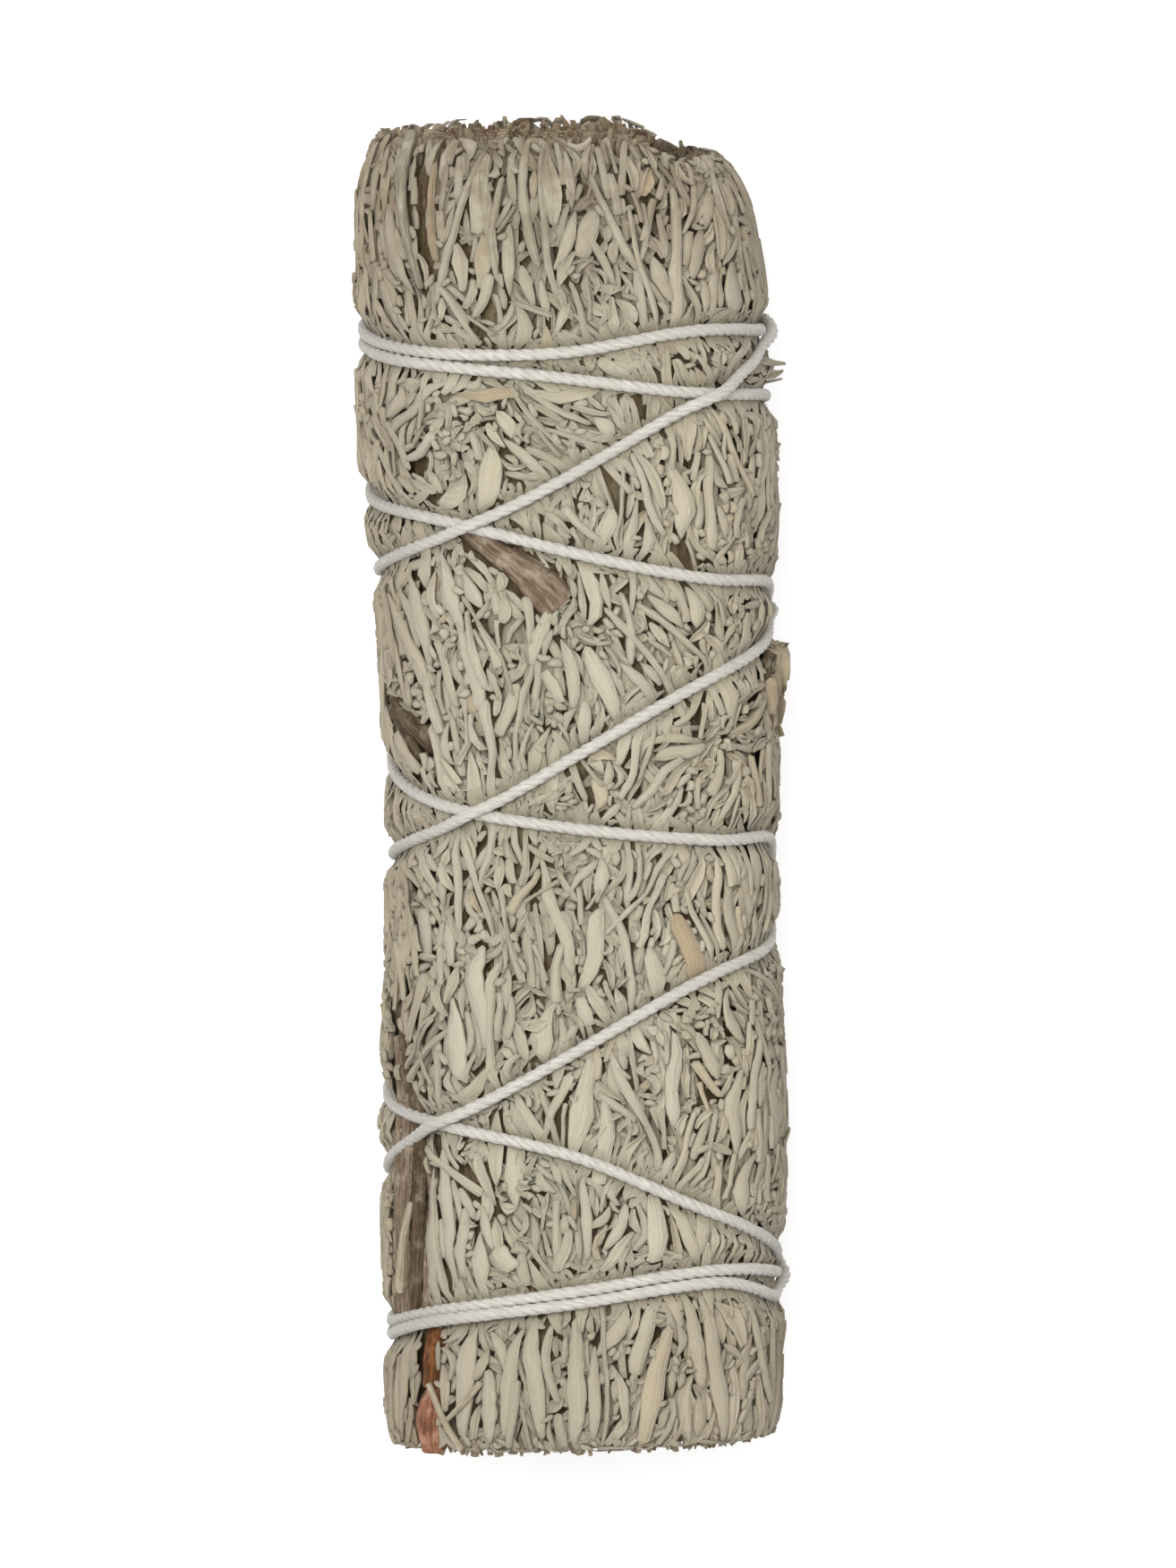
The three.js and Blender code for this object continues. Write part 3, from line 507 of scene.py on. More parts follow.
# Each run: angle round the bunch, way along it, height of its middle, half width and half thickness.
TWIGS = {
    "forked_twig_front": ("grey_bark", [
        [(129, 22.6, -0.6, 0.8, 0.7), (120, 20.9, -0.3, 1.0, 0.9), (110, 19.3, 0, 1.2, 1),
         (102, 17.6, 0.1, 1.6, 1.1),
         (96, 15.9, 0.1, 1.7, 1.1)],
        [(112, 20.2, -0.1, 0.7, 0.7), (105, 19.2, 0.2, 0.8, 0.7), (99, 18.5, 0.3, 0.7, 0.6)],
    ]),
    "dark_twig_left": ("dark_bark", [
        [(172, 8.6, 0, 0.6, 0.6), (161, 7.4, 0.2, 0.9, 0.9), (151, 6.0, 0.2, 1.0, 0.9),
         (142, 4.2, 0, 0.8, 0.7)],
        [(166, 7.0, 0.3, 0.5, 0.5), (156, 5.4, 0.5, 0.5, 0.5), (148, 3.2, 0.4, 0.4, 0.4)],
    ]),
    "bark_stem_left": ("grey_bark", [
        [(172, -16.4, 0.2, 0.8, 0.6), (162, -18.4, 0, 0.9, 0.7), (155, -22, 0, 0.8, 0.7),
         (151, -27, -0.1, 0.6, 0.5)],
        [(166, -20, 0.1, 0.5, 0.5), (161, -26, 0, 0.6, 0.6), (162, -33, 0.2, 0.7, 0.6),
         (165, -42.8, 0, 0.5, 0.5)],
        [(157, -21, -0.2, 0.4, 0.4), (155, -28, 0.2, 0.6, 0.6), (157, -35, 0.3, 0.6, 0.6),
         (160, -43, 0.1, 0.6, 0.5)],
        [(151, -23, -0.2, 0.5, 0.5), (149, -29, 0.1, 0.6, 0.6), (151, -36, 0.1, 0.7, 0.6),
         (154, -43.2, 0, 0.6, 0.5)],
        [(146, -28, -0.2, 0.4, 0.4), (144, -33, 0, 0.5, 0.5), (146, -38, 0, 0.6, 0.5),
         (149, -43.3, -0.1, 0.5, 0.4)],
        [(160, -41, 0.7, 0.4, 0.4), (157, -37.5, 0.8, 0.4, 0.4), (152, -33.5, 0.7, 0.3, 0.3)],
        [(154, -24, -0.5, 0.5, 0.4), (152, -30, -0.4, 0.5, 0.4), (153.5, -38, -0.4, 0.5, 0.4),
         (157, -43, -0.4, 0.5, 0.4)],
    ]),
    "red_stem_foot": ("red_bark", [
        [(144, -43.6, -0.4, 0.9, 0.8), (144, -46, 0.1, 1.0, 0.9), (144.5, -48.6, 0, 1.0, 0.9)],
        [(143.5, -48.4, -0.4, 0.8, 0.7), (145, -50.2, 0.1, 1.3, 1), (146, -52, 0.2, 1.4, 1),
         (147, -53.7, 0.1, 1.4, 1)],
        [(143, -48.3, 1.0, 0.25, 0.25), (138, -50.5, 1.2, 0.3, 0.25), (132, -53.6, 1.0, 0.3, 0.25)],
        [(136, -51.2, 1.1, 0.2, 0.2), (129, -49.6, 1.3, 0.25, 0.25), (124, -48, 1.2, 0.3, 0.25)],
    ]),
    "twig_tip_right": ("grey_bark", [
        [(-11, -2.8, -0.2, 0.5, 0.5), (-9, 2.2, 0.2, 0.7, 0.6), (-5, 6.2, 0.8, 0.7, 0.7),
         (-2, 8.4, 1.2, 0.7, 0.7),
         (-1, 10.4, 1.5, 0.6, 0.6)],
        [(-4, 6.8, 0.9, 0.6, 0.6), (8, 8, 0.7, 0.6, 0.5), (20, 8.4, 0.6, 0.5, 0.4), (31, 7.6, 0.5, 0.4, 0.4)],
        [(14, 8.3, 0.7, 0.4, 0.4), (26, 5.8, 0.7, 0.5, 0.4), (38, 4.6, 0.6, 0.4, 0.4)],
        [(17, 8.6, 0.8, 0.4, 0.3), (15.5, 9.8, 1.0, 0.45, 0.3), (14, 11, 0.8, 0.4, 0.3)],
    ]),
    "grey_stem_top_left": ("green_stem", [
        [(137, 42.2, 0.6, 0.3, 0.3), (140, 46, 1.0, 0.45, 0.4), (142.5, 51, 1.2, 0.5, 0.45),
         (143.5, 55, 1.2, 0.55, 0.5)],
        [(133, 44, -0.3, 0.3, 0.3), (135, 48, -0.2, 0.4, 0.4), (137, 53, 0, 0.4, 0.4)],
    ]),
}
# Runs with a bark of their own, by number.
OTHER_BARK = {
    "bark_stem_left": {0: "dark_bark", 3: "dark_bark", 5: "pale_twig", 6: "dark_bark"},
    "red_stem_foot": {1: "pink_bark", 2: "pale_twig", 3: "pale_twig"},
    "twig_tip_right": {1: "pale_twig", 2: "pale_twig", 3: "dark_bark"},
    "grey_stem_top_left": {1: "dark_bark"},
}

# ---- Laying the leaves out on the sheet ----

# Leaves and stems that catch the eye, by kind: angle round the bunch, way along it, heading in degrees from
# the bunch's length, length, width, tone from dark to pale, and warmth from grey-green to tan.
CHOSEN = {
    "blade": [
        (50, 44.5, -5, 12, 1.1, 0.9, 0.1), (177, 46, 10, 7, 1.6, 0.5, 0.3), (90, 33.5, 90, 6, 1, 0.8, 0.7),
        (140, 32.5, -45, 6.5, 1, 0.4, 0.4), (132, 17, 15, 6.5, 1.3, 0.8, 0.2),
        (126, 11, 15, 8, 1.1, 0.7, 0.2), (150, 13, 30, 8.5, 1.3, 0.7, 0.3),
        (99, -9.5, 15, 9.5, 1, 0.8, 0.2), (38, -26.5, 0, 7, 1.2, 0.7, 0.2),
        (124, -16, 5, 8.5, 1.7, 0.8, 0.3), (132, -20, 15, 6.5, 1.8, 0.8, 0.3),
        (18, -26.5, 0, 8, 1.5, 0.3, 0.5), (56, -36, 25, 6, 1.1, 0.8, 0.2), (129, -48, -5, 9, 1.6, 0.7, 0.6),
        (122, -50, 0, 6, 1.3, 0.9, 0.1), (114, -48, -5, 9, 1.2, 0.7, 0.3),
        (106, -47.5, 5, 10, 1.4, 0.8, 0.2), (93, -48, 0, 10, 1.5, 0.8, 0.2), (86, -49, 0, 7.5, 1, 0.7, 0.3),
        (53, -45, 10, 8, 1.2, 0.8, 0.2), (45, -47.5, 10, 12, 1.4, 0.8, 0.2),
        (177, -50.2, 0, 8.6, 1.2, 0.5, 0.3), (184, -50, 5, 9, 1.2, 0.5, 0.3),
        (191, -50, 0, 9, 1.2, 0.5, 0.3), (166, -49, -10, 10, 1.2, 0.4, 0.3),
        (156, -48.5, -10, 9.5, 1.4, 0.6, 0.4), (130, -36.5, 0, 6, 1.1, 0.5, 0.3),
        (89, -34.5, 0, 6, 0.9, 0.7, 0.3), (172, -37, 5, 9, 1.3, 0.6, 0.1), (141, -37, 0, 13, 0.9, 0.6, 0.3),
        (135, -34, 5, 12, 0.9, 0.8, 0.2), (112, 48, 5, 8, 1, 0.8, 0.2), (70, 20, -5, 9, 0.8, 0.7, 0.2),
    ],
    "leaf_blunt": [
        (115, 50, -5, 6.5, 1.6, 0.9, 0.2), (79, 46.5, -15, 4, 1.7, 0.7, 0.3),
        (29, 41.5, -5, 4, 1.6, 0.5, 0.3), (72, 35.5, 50, 2.5, 1.3, 0.8, 0.3),
        (82, 9.5, 25, 6, 1.7, 0.8, 0.3), (84, 0.5, 15, 2.5, 1.3, 0.7, 0.8), (154, 4, 50, 5, 1.3, 0.8, 0.4),
        (53, -12.5, 20, 5.5, 2.1, 0.8, 1), (89, -17.5, 20, 3, 1.4, 0.8, 0.4),
        (145, -11, 10, 3.5, 1.5, 0.7, 0.3), (109, -26.5, 30, 4.5, 1.2, 0.8, 0.2),
        (66, -35.5, 0, 5.5, 1.7, 0.8, 0.3), (116, -37.5, 30, 2.5, 2, 0.8, 0.2),
        (66, -48.5, -10, 9.5, 1.8, 0.7, 0.8), (28, -47.5, -50, 3.5, 0.9, 0.8, 0.3),
    ],
    "leaf_bowed": [(143, 45.5, 15, 7.5, 1.3, 0.8, 0.2), (37, -18.5, 15, 5, 1.2, 0.7, 0.2)],
    "leaf_bowed_back": [(87, 17, 10, 5.5, 1.3, 0.9, 0.2), (119, -45.5, 20, 3.5, 1.1, 0.9, 0.3)],
    "leaf_folded": [
        (123, 44, 5, 4, 1.5, 0.4, 0.6), (68, 40, 40, 2.5, 1, 0.7, 0.2), (116, 33.5, 85, 5, 1, 0.6, 0.9),
        (129, 25.5, -35, 3.5, 1.2, 0.5, 0.4), (44, 12.5, 40, 3, 0.8, 0.8, 0.2),
        (53, -7, -15, 4.5, 1, 0.7, 0.2), (40, -44, 35, 4.5, 1.6, 0.7, 0.2),
    ],
    "leaf_plain": [
        (116, 44.5, -5, 4.5, 1.4, 0.7, 0.8), (106, 44.5, -5, 6, 1.1, 0.9, 0.1),
        (87, 46, -20, 5, 1.1, 0.6, 0.4), (36, 48.5, -25, 4, 1.3, 0.3, 0.7),
        (56, 42.5, 20, 4, 1.3, 0.8, 0.2), (43, 44.5, -10, 4.5, 1.2, 0.8, 0.3),
        (14, 40, -5, 4.5, 1.6, 0.4, 0.3), (77, 30.5, 50, 3, 1.2, 0.7, 0.3),
        (12, 34.5, 100, 6.5, 0.7, 0.6, 0.2), (118, 26.5, -15, 6, 1.9, 0.9, 0.7),
        (54, 24, 5, 6, 1.8, 0.8, 0.3), (144, 15, 10, 7.5, 1.6, 0.6, 0.3),
        (102, 13.5, -20, 5.5, 1.3, 0.9, 0.3), (94, 10.5, 10, 5.5, 1.3, 0.8, 0.5),
        (59, 15, 50, 4, 1.1, 0.8, 0.2), (51, 15.5, 15, 3.5, 1.2, 0.8, 0.2),
        (57, 3.5, 105, 4.5, 1.2, 0.7, 0.1), (85, -6.5, 5, 4, 1, 0.7, 0.3),
        (91, -25, -10, 9.5, 1.8, 0.8, 0.4), (73, -24.5, 25, 8.5, 1, 0.8, 0.2),
        (60, -23.5, 0, 7.5, 1.6, 0.9, 0.2), (48, -21.5, 25, 4, 1.2, 0.6, 0.3),
        (79, -35.5, -30, 4, 1.3, 0.7, 0.3), (80, -44, -30, 4.5, 1.3, 0.7, 0.3),
        (125, -39, 0, 7, 1.2, 0.7, 0.2), (50, -36.5, -20, 4, 1.2, 0.6, 0.3),
        (96, 37, 5, 4.5, 1.2, 0.7, 0.8), (104, 28, 40, 5, 1.1, 0.8, 0.3), (30, 12, -10, 5, 1.1, 0.6, 0.3),
        (48, -40, 5, 6, 1.2, 0.8, 0.2),
    ],
    "stem_bowed": [(122, 49.5, -20, 13, 0.7, 0.6, 0.3), (83, 13, 75, 3, 0.5, 0.9, 0.2)],
    "stem_bowed_back": [(74, 14, 5, 6, 0.7, 0.7, 0.3), (15, -17.5, 55, 10, 0.5, 0.7, 0.2)],
    "stem_plain": [
        (130, 50, 0, 8, 0.7, 0, 1), (109, 47, -5, 8.5, 0.7, 0.8, 0.2), (69, 47.5, 20, 8.5, 0.8, 0.9, 0.2),
        (62, 41, 5, 5, 0.8, 0.8, 0.2), (126, 41, 40, 4, 0.7, 0.8, 0.2), (63, 25, 15, 6.5, 0.7, 0.7, 0.2),
        (42, 24, 0, 8, 0.9, 0.8, 0.2), (124, 12.5, 10, 6, 0.7, 0.8, 0.2), (141, 8, 15, 5, 1, 0.7, 0.2),
        (109, 7, -10, 8.5, 0.6, 0.8, 0.2), (71, 3, -20, 6.5, 0.8, 0.8, 0.2),
        (66, -9.5, -20, 6.5, 0.8, 0.8, 0.2), (43, -9, 5, 8, 0.9, 0.7, 0.3),
        (119, -18.5, 0, 11, 0.8, 0.8, 0.2), (29, -24.5, -10, 7.5, 0.8, 0.6, 0.3),
        (100, -46.5, 5, 6.5, 0.8, 0.8, 0.2), (25, -46.5, 20, 9.5, 0.9, 0.7, 0.3),
        (138, -36.5, 5, 10, 0.9, 0.6, 0.4), (146, -20, -30, 6, 0.5, 0.8, 0.2),
        (99, -35.5, 5, 5, 0.7, 0.8, 0.2),
    ],
}
# Leaves whose tips stand off the bunch, in the same order, with the tilt of the tip.
STANDING = [
    ("leaf_plain", 8, 35, -100, 5, 0.9, 0.5, 0.2, 0.55),
    ("leaf_plain", 6, 32.7, -75, 4.5, 0.8, 0.6, 0.3, 0.5),
    ("leaf_folded", 4, 33.8, -90, 4.2, 0.8, 0.4, 0.3, 0.55),
    ("leaf_blunt", 172, 32.5, 60, 2.5, 1.1, 0.5, 0.2, 0.2),
    ("leaf_plain", 175, 47.5, 10, 5, 0.8, 0.5, 0.3, 0.15),
    ("stem_plain", 168, 24, 30, 3, 0.6, 0.4, 0.3, 0.25),
    ("leaf_plain", 182, -6.5, 20, 3.5, 1, 0.6, 0.3, 0.2),
    ("leaf_plain", 4, 21.5, -25, 3, 0.9, 0.5, 0.4, 0.2),
    ("leaf_folded", 2, -46.5, 10, 4, 1, 0.3, 0.5, 0.15), ("leaf_folded", 0, 9.5, 0, 3, 1, 0.2, 0.5, 0.35),
    ("leaf_curled", -3, 8.2, 10, 2.5, 1.1, 0.3, 0.5, 0.3),
    ("leaf_blunt", 3, 10.4, -10, 2.5, 1.2, 0.2, 0.6, 0.4),
    ("leaf_curled", 1, 6.8, -20, 2.5, 1, 0.4, 0.4, 0.2),
    ("stem_plain", 176, 30.6, 50, 3, 0.5, 0.5, 0.2, 0.1),
    ("leaf_plain", 178, -2.5, -25, 3, 0.8, 0.4, 0.3, 0.25),
    ("leaf_plain", 181, -19, 10, 3, 0.8, 0.5, 0.2, 0.2),
    ("leaf_curled", 184, -31.5, 0, 2.5, 0.9, 0.5, 0.2, 0.2),
    ("leaf_plain", 357, -17, -20, 3, 0.8, 0.4, 0.3, 0.25),
    ("leaf_folded", 359, -30, 15, 3, 0.9, 0.4, 0.3, 0.2), ("leaf_plain", 0, 27, 20, 3, 0.9, 0.4, 0.3, 0.2),
]
# The two tufts of leaves underneath that the bunch rests on: angle round it and way along it.
RESTING_TUFTS = [(254, 22.5), (286, 22.5)]
TUFT_HEIGHTS = (1.45, 1.7, 1.85, 1.95, 2.0, 2.0)
# The knob at the tip of the right-hand twig: kind, angle, way along, height, length and width.
KNOB = [
    ("leaf_blunt", 1, 9.9, 1.9, 3.6, 1.8), ("leaf_folded", 6, 9.5, 1.8, 3.4, 1.4),
    ("leaf_curled", -3, 10, 1.6, 3, 1.3), ("crumb_bent", 0, 11.4, 2, 1.2, 0.8),
    ("leaf_curled", 3, 7.6, 1.7, 2.8, 1.2), ("stem_bowed", 0, 6, 1.8, 4.5, 0.5),
    ("leaf_plain", -3, 6.8, 1.6, 3.4, 1.1), ("leaf_folded", 6, 6.4, 1.6, 3, 1),
    ("crumb_long", 7, 8.4, 1.8, 1.6, 1), ("leaf_plain", 12, 8, 1.6, 3.4, 1),
    ("leaf_blunt", 17, 7.2, 1.6, 3.2, 1.1), ("leaf_curled", -6, 4.6, 1.5, 2.8, 0.9),
    ("leaf_folded", -8, 8.8, 1.5, 3.2, 1.2),
]
CELL = 0.14
SHEET_HALF = 54.6
PAST_TOP = 0.7  # how far leaves may reach past the sprigs' length at the top
SHORT_OF_FOOT = 0.1  # how far short of it they stay at the foot
LAP_RISE = 0.55  # a leaf that lies over others is raised by this times the share that does
OVER_TWIGS = 0.08  # share of a leaf that may lie over a twig
CHOSEN_OVER_TWIGS = 0.3
TUCKED_OVER_TWIGS = 0.12
BENEATH_OVER_TWIGS = 0.1
TURNED_ROUND = 0.4  # share of the leaves that point to the foot
CHOSEN_HEIGHT = 1.4
FLOW_AREA = 7  # how far a chosen leaf steers those near it, as a squared distance
DRIFT_WEIGHT = 0.25  # weight of the gentle drifts beside the chosen leaves
rng = np.random.default_rng(7)
CHOSEN_PLACES = np.array([
    (arc_at(math.radians(row[0])), row[1], math.radians(row[2])) for rows in CHOSEN.values() for row in rows
])
CHOSEN_PLACES[:, 2] -= math.pi * np.round(CHOSEN_PLACES[:, 2] / math.pi)


class Covering:
    """Which cells of the sheet are covered already, and which the twigs keep."""

    def __init__(self):
        self.across = int(round(PERIMETER / CELL))
        self.down = int(round(2 * SHEET_HALF / CELL))
        self.covered = np.zeros((self.across, self.down), bool)
        self.kept = np.zeros((self.across, self.down), bool)
        self.bare = np.array([], int)

    def footprint(self, arc, along, heading, length, width, outline):
        sine, cosine = math.sin(heading), math.cos(heading)
        half_width = width * max(-outline[1].min(), outline[2].max())
        reach_x = 0.5 * length * abs(sine) + half_width * abs(cosine) + CELL
        reach_y = 0.5 * length * abs(cosine) + half_width * abs(sine) + CELL
        columns = np.arange(int((arc - reach_x) / CELL), int((arc + reach_x) / CELL) + 1)
        first_row, last_row = ((along + way + SHEET_HALF) / CELL for way in (-reach_y, reach_y))
        rows = np.arange(int(first_row), int(last_row) + 1)
        rows = rows[(rows >= 0) & (rows < self.down)]
        dx = (columns[:, None] + 0.5) * CELL - arc
        dy = (rows[None, :] + 0.5) * CELL - SHEET_HALF - along
        aside = dx * cosine - dy * sine
        ahead = (dx * sine + dy * cosine) / length + 0.5
        stations, low, high = outline
        inside = aside > np.interp(ahead, stations, low) * width
        inside &= aside < np.interp(ahead, stations, high) * width
        return np.mod(columns, self.across), rows, inside & (ahead > 0) & (ahead < 1)

    def share(self, cells, footprint):
        columns, rows, inside = footprint
        total = inside.sum()
        return (cells[np.ix_(columns, rows)] & inside).sum() / total if total else 1.0

    def cover(self, footprint):
        columns, rows, inside = footprint
        self.covered[np.ix_(columns, rows)] |= inside

    def keep(self, footprint):
        columns, rows, inside = footprint
        self.kept[np.ix_(columns, rows)] |= inside
        self.cover(footprint)

    def look_for_bare(self):
        self.bare = np.flatnonzero(~self.covered)

    def bare_place(self):
        column, row = divmod(int(self.bare[rng.integers(len(self.bare))]), self.down)
        return (column + rng.random()) * CELL, (row + rng.random()) * CELL - SHEET_HALF


def outline_of(points):
    """How far a shape reaches to either side, from its one end to the other."""
    stations = np.linspace(0, 1, 7)
    places = np.array(points)[:, :2]
    bands = [places[np.abs(places[:, 1] + 0.5 - station) < 0.2, 0] for station in stations]
    return stations, np.array([band.min() for band in bands]), np.array([band.max() for band in bands])


OUTLINES = {name: outline_of(points) for name, (points, *_) in SHAPES.items()}
STRAIGHT = (np.array([0, 1]), np.array([-0.5, -0.5]), np.array([0.5, 0.5]))

covering = Covering()
laid = []  # shape, arc, along, height, heading, pitch, roll, width, length, thickness, tone, warmth, loose

LONG = 6  # leaves and stems from this length on have more rings
LONG_KINDS = {
    "blade": "long_blade", "blade_ribbed": "long_blade", "stem_plain": "long_stem", "stem_bowed": "long_stem",
    "stem_bowed_back": "long_stem_back",
}


def one_of(kinds, length=0):
    kind = kinds[rng.integers(len(kinds))]
    if length >= LONG:
        kind = LONG_KINDS.get(kind, kind)
    return f"{kind}.{rng.integers(VARIANTS)}"


def flow(arc, along):
    """Which way the leaves lie here: like the chosen leaves nearby, and else in gentle drifts."""
    turn = 2 * math.pi * arc / PERIMETER
    wide, narrow = math.sin(3 * turn + along / 7.5 + 1.0), math.sin(2 * turn - along / 4.6 + 2.1)
    drift = math.radians(9 * wide + 7 * narrow)
    gap = CHOSEN_PLACES[:, 0] - arc
    gap = gap - PERIMETER * np.round(gap / PERIMETER)
    weight = np.exp(-(gap**2 + (CHOSEN_PLACES[:, 1] - along) ** 2) / FLOW_AREA)
    return (drift * DRIFT_WEIGHT + (weight * CHOSEN_PLACES[:, 2]).sum()) / (DRIFT_WEIGHT + weight.sum())


def crumbling(arc, along):
    """From 0, where whole leaves lie, to 1, where only crumbs and small bits do."""
    turn = 2 * math.pi * arc / PERIMETER
    patches = math.sin(5 * turn + along / 5.3 + 0.7) * math.sin(3 * turn - along / 6.7 + 1.9)
    patches += 0.6 * math.sin(9 * turn + along / 3.1) * math.sin(along / 4.3 + 2 * turn)
    middle = 1 - min(1, max(0, (abs(along + 3) - 36) / 10))
    return min(1, max(0, 0.35 + 0.6 * patches)) * middle


def held_in(along, heading, length):
    """Moves a leaf back from the bunch's ends, to an end of its own a little short of them."""
    reach = 0.5 * length * abs(math.cos(heading))
    top = HALF_LENGTH + PAST_TOP - 3.0 * rng.random() ** 1.5 - reach
    foot = -HALF_LENGTH + SHORT_OF_FOOT + 0.5 * rng.random() ** 2 + reach
    return max(foot, min(top, along))


def lay(name, arc, along, heading, length, width, height, tone=None, warmth=None, thickness=1.0, loose=0.0,
        pitch=0.0, roll=0.0):
    laid.append((
        SHAPE_NUMBER[name], arc, along, height, heading, pitch, roll, width, length, thickness,
        rng.uniform(0, 1) if tone is None else tone, rng.beta(1.2, 3.0) if warmth is None else warmth, loose,
    ))


LEAVES = [
    "leaf_plain", "leaf_domed", "leaf_bowed", "leaf_bowed_back", "leaf_blunt", "leaf_folded", "leaf_ribbed",
]
BLADES = ["blade", "blade_ribbed"]
CURLS = ["leaf_curled", "leaf_folded", "leaf_bowed", "leaf_bowed_back"]
BITS = ["bit_plain", "bit_folded", "bit_curled", "bit_folded"]
STEMS = ["stem_plain", "stem_bowed", "stem_bowed_back"]
CRUMBS = ["crumb_round", "crumb_long", "crumb_bent"]


def try_to_lay(kinds, arc, along, heading, length, width, overlap, height):
    name = one_of(kinds, length)
    heading = heading + (math.pi if rng.random() < TURNED_ROUND else 0)
    along = held_in(along, heading, length)
    footprint = covering.footprint(arc, along, heading, length, width, OUTLINES[name])
    share = covering.share(covering.covered, footprint)
    if share > overlap or covering.share(covering.kept, footprint) > OVER_TWIGS:
        return
    covering.cover(footprint)
    lay(name, arc, along, heading, length, width, height + LAP_RISE * share, thickness=rng.uniform(0.8, 1.2),
        pitch=rng.normal(0, 0.03), roll=rng.normal(0, 0.16))


def lay_chosen():
    for kind, rows in CHOSEN.items():
        for angle, along, heading, length, width, tone, warmth in rows:
            name = one_of([kind], length)
            arc, heading, length = float(arc_at(math.radians(angle))), math.radians(heading), length * 1.04
            along = held_in(along, heading, length)
            footprint = covering.footprint(arc, along, heading, length, width, OUTLINES[name])
            if covering.share(covering.kept, footprint) > CHOSEN_OVER_TWIGS:
                continue
            covering.cover(footprint)
            lay(name, arc, along, heading, length, width, CHOSEN_HEIGHT + 0.06 * rng.random(),
                tone, warmth, 1.15, roll=rng.normal(0, 0.1))


def lay_standing():
    for kind, angle, along, heading, length, width, tone, warmth, pitch in STANDING:
        arc = float(arc_at(math.radians(angle)))
        lay(one_of([kind]), arc, along, math.radians(heading), length, width, CHOSEN_HEIGHT, tone, warmth,
            loose=1.0, pitch=pitch)


def knob_rows():
    """Lumps and curled leaves at the tip of the right-hand twig, as rows like the laid ones."""
    start = len(laid)
    for kind, angle, along, height, length, width in KNOB:
        arc = float(arc_at(math.radians(angle)))
        lay(one_of([kind]), arc, along, rng.normal(0, 0.3), length, width, height, rng.uniform(0, 0.4),
            rng.uniform(0.65, 0.95), 1.3, 1.0, roll=rng.uniform(0.8, 1.3))
    rows = np.array(laid[start:])
    del laid[start:]
    return rows


def lay_resting_tufts():
    """Leaves piled up to the level that the bunch rests on."""
    for angle, along in RESTING_TUFTS:
        for height in TUFT_HEIGHTS:
            arc = float(arc_at(math.radians(angle))) + rng.uniform(-0.5, 0.5)
            lay(one_of(["leaf_blunt", "leaf_plain"]), arc, along + rng.uniform(-0.6, 0.6),
                rng.normal(0, 0.35), rng.uniform(2.8, 4.2), rng.uniform(1.2, 1.7), height, loose=1.0)


def lay_kind(kinds, attempts, lengths, widths, overlap, heights, spread, where=None):
    """Tries places all over the sheet."""
    for _ in range(attempts):
        arc, along = rng.uniform(0, PERIMETER), rng.uniform(-HALF_LENGTH - 0.4, HALF_LENGTH + 0.4)
        if where is not None and not where(crumbling(arc, along)):
            continue
        calm = max(0.0, abs(along + 1) - 36) / 18
        heading = flow(arc, along) * (1 - 0.5 * calm) + rng.normal(0, spread * (1 - 0.5 * calm))
        length, width = rng.uniform(*lengths), rng.uniform(*widths)
        try_to_lay(kinds, arc, along, heading, length, width, overlap, rng.uniform(*heights))


def fill_kind(kinds, attempts, lengths, widths, overlap, heights, spread):
    """Tries bare places, in the best of a few headings."""
    for attempt in range(attempts):
        if attempt % 250 == 0:
            covering.look_for_bare()
        arc, along = covering.bare_place()
        length, width = rng.uniform(*lengths), rng.uniform(*widths)
        headings = flow(arc, along) + rng.normal(0, spread, 4)
        shares = [
            covering.share(covering.covered, covering.footprint(arc, along, heading, length, width, STRAIGHT))
            for heading in headings
        ]
        heading = headings[int(np.argmin(shares))]
        try_to_lay(kinds, arc, along, heading, length, width, overlap, rng.uniform(*heights))


def keep_twigs_clear():
    """Keeps the leaves off the twigs."""
    for _, runs in TWIGS.values():
        for run in runs:
            for (angle, along, _, half, _), (next_angle, next_along, _, next_half, _) in zip(run, run[1:]):
                arc, next_arc = (float(arc_at(math.radians(each))) for each in (angle, next_angle))
                round_way = (next_arc - arc + PERIMETER / 2) % PERIMETER - PERIMETER / 2
                heading = math.atan2(round_way, next_along - along)
                length = math.hypot(round_way, next_along - along)
                middle = arc + round_way / 2, (along + next_along) / 2
                width = 0.95 * (half + next_half)
                covering.keep(covering.footprint(*middle, heading, length * 1.1, width, STRAIGHT))


def tuck_kind(kinds, attempts, lengths, widths, heights, spread):
    """Puts leaves under the outer ones where a gap is left."""
    for attempt in range(attempts):
        if attempt % 100 == 0:
            covering.look_for_bare()
        arc, along = covering.bare_place()
        name = one_of(kinds)
        heading = flow(arc, along) + rng.normal(0, spread)
        length, width = rng.uniform(*lengths), rng.uniform(*widths)
        along = held_in(along, heading, length)
        footprint = covering.footprint(arc, along, heading, length, width, OUTLINES[name])
        if covering.share(covering.kept, footprint) > TUCKED_OVER_TWIGS:
            continue
        covering.cover(footprint)
        lay(name, arc, along, heading, length, width, rng.uniform(*heights), tone=rng.uniform(0, 0.8))


def whole_leaves(crumb):
    return rng.random() > crumb


def crumbled(crumb):
    return rng.random() < crumb


def uncrumbled(crumb):
    return crumb < 0.1


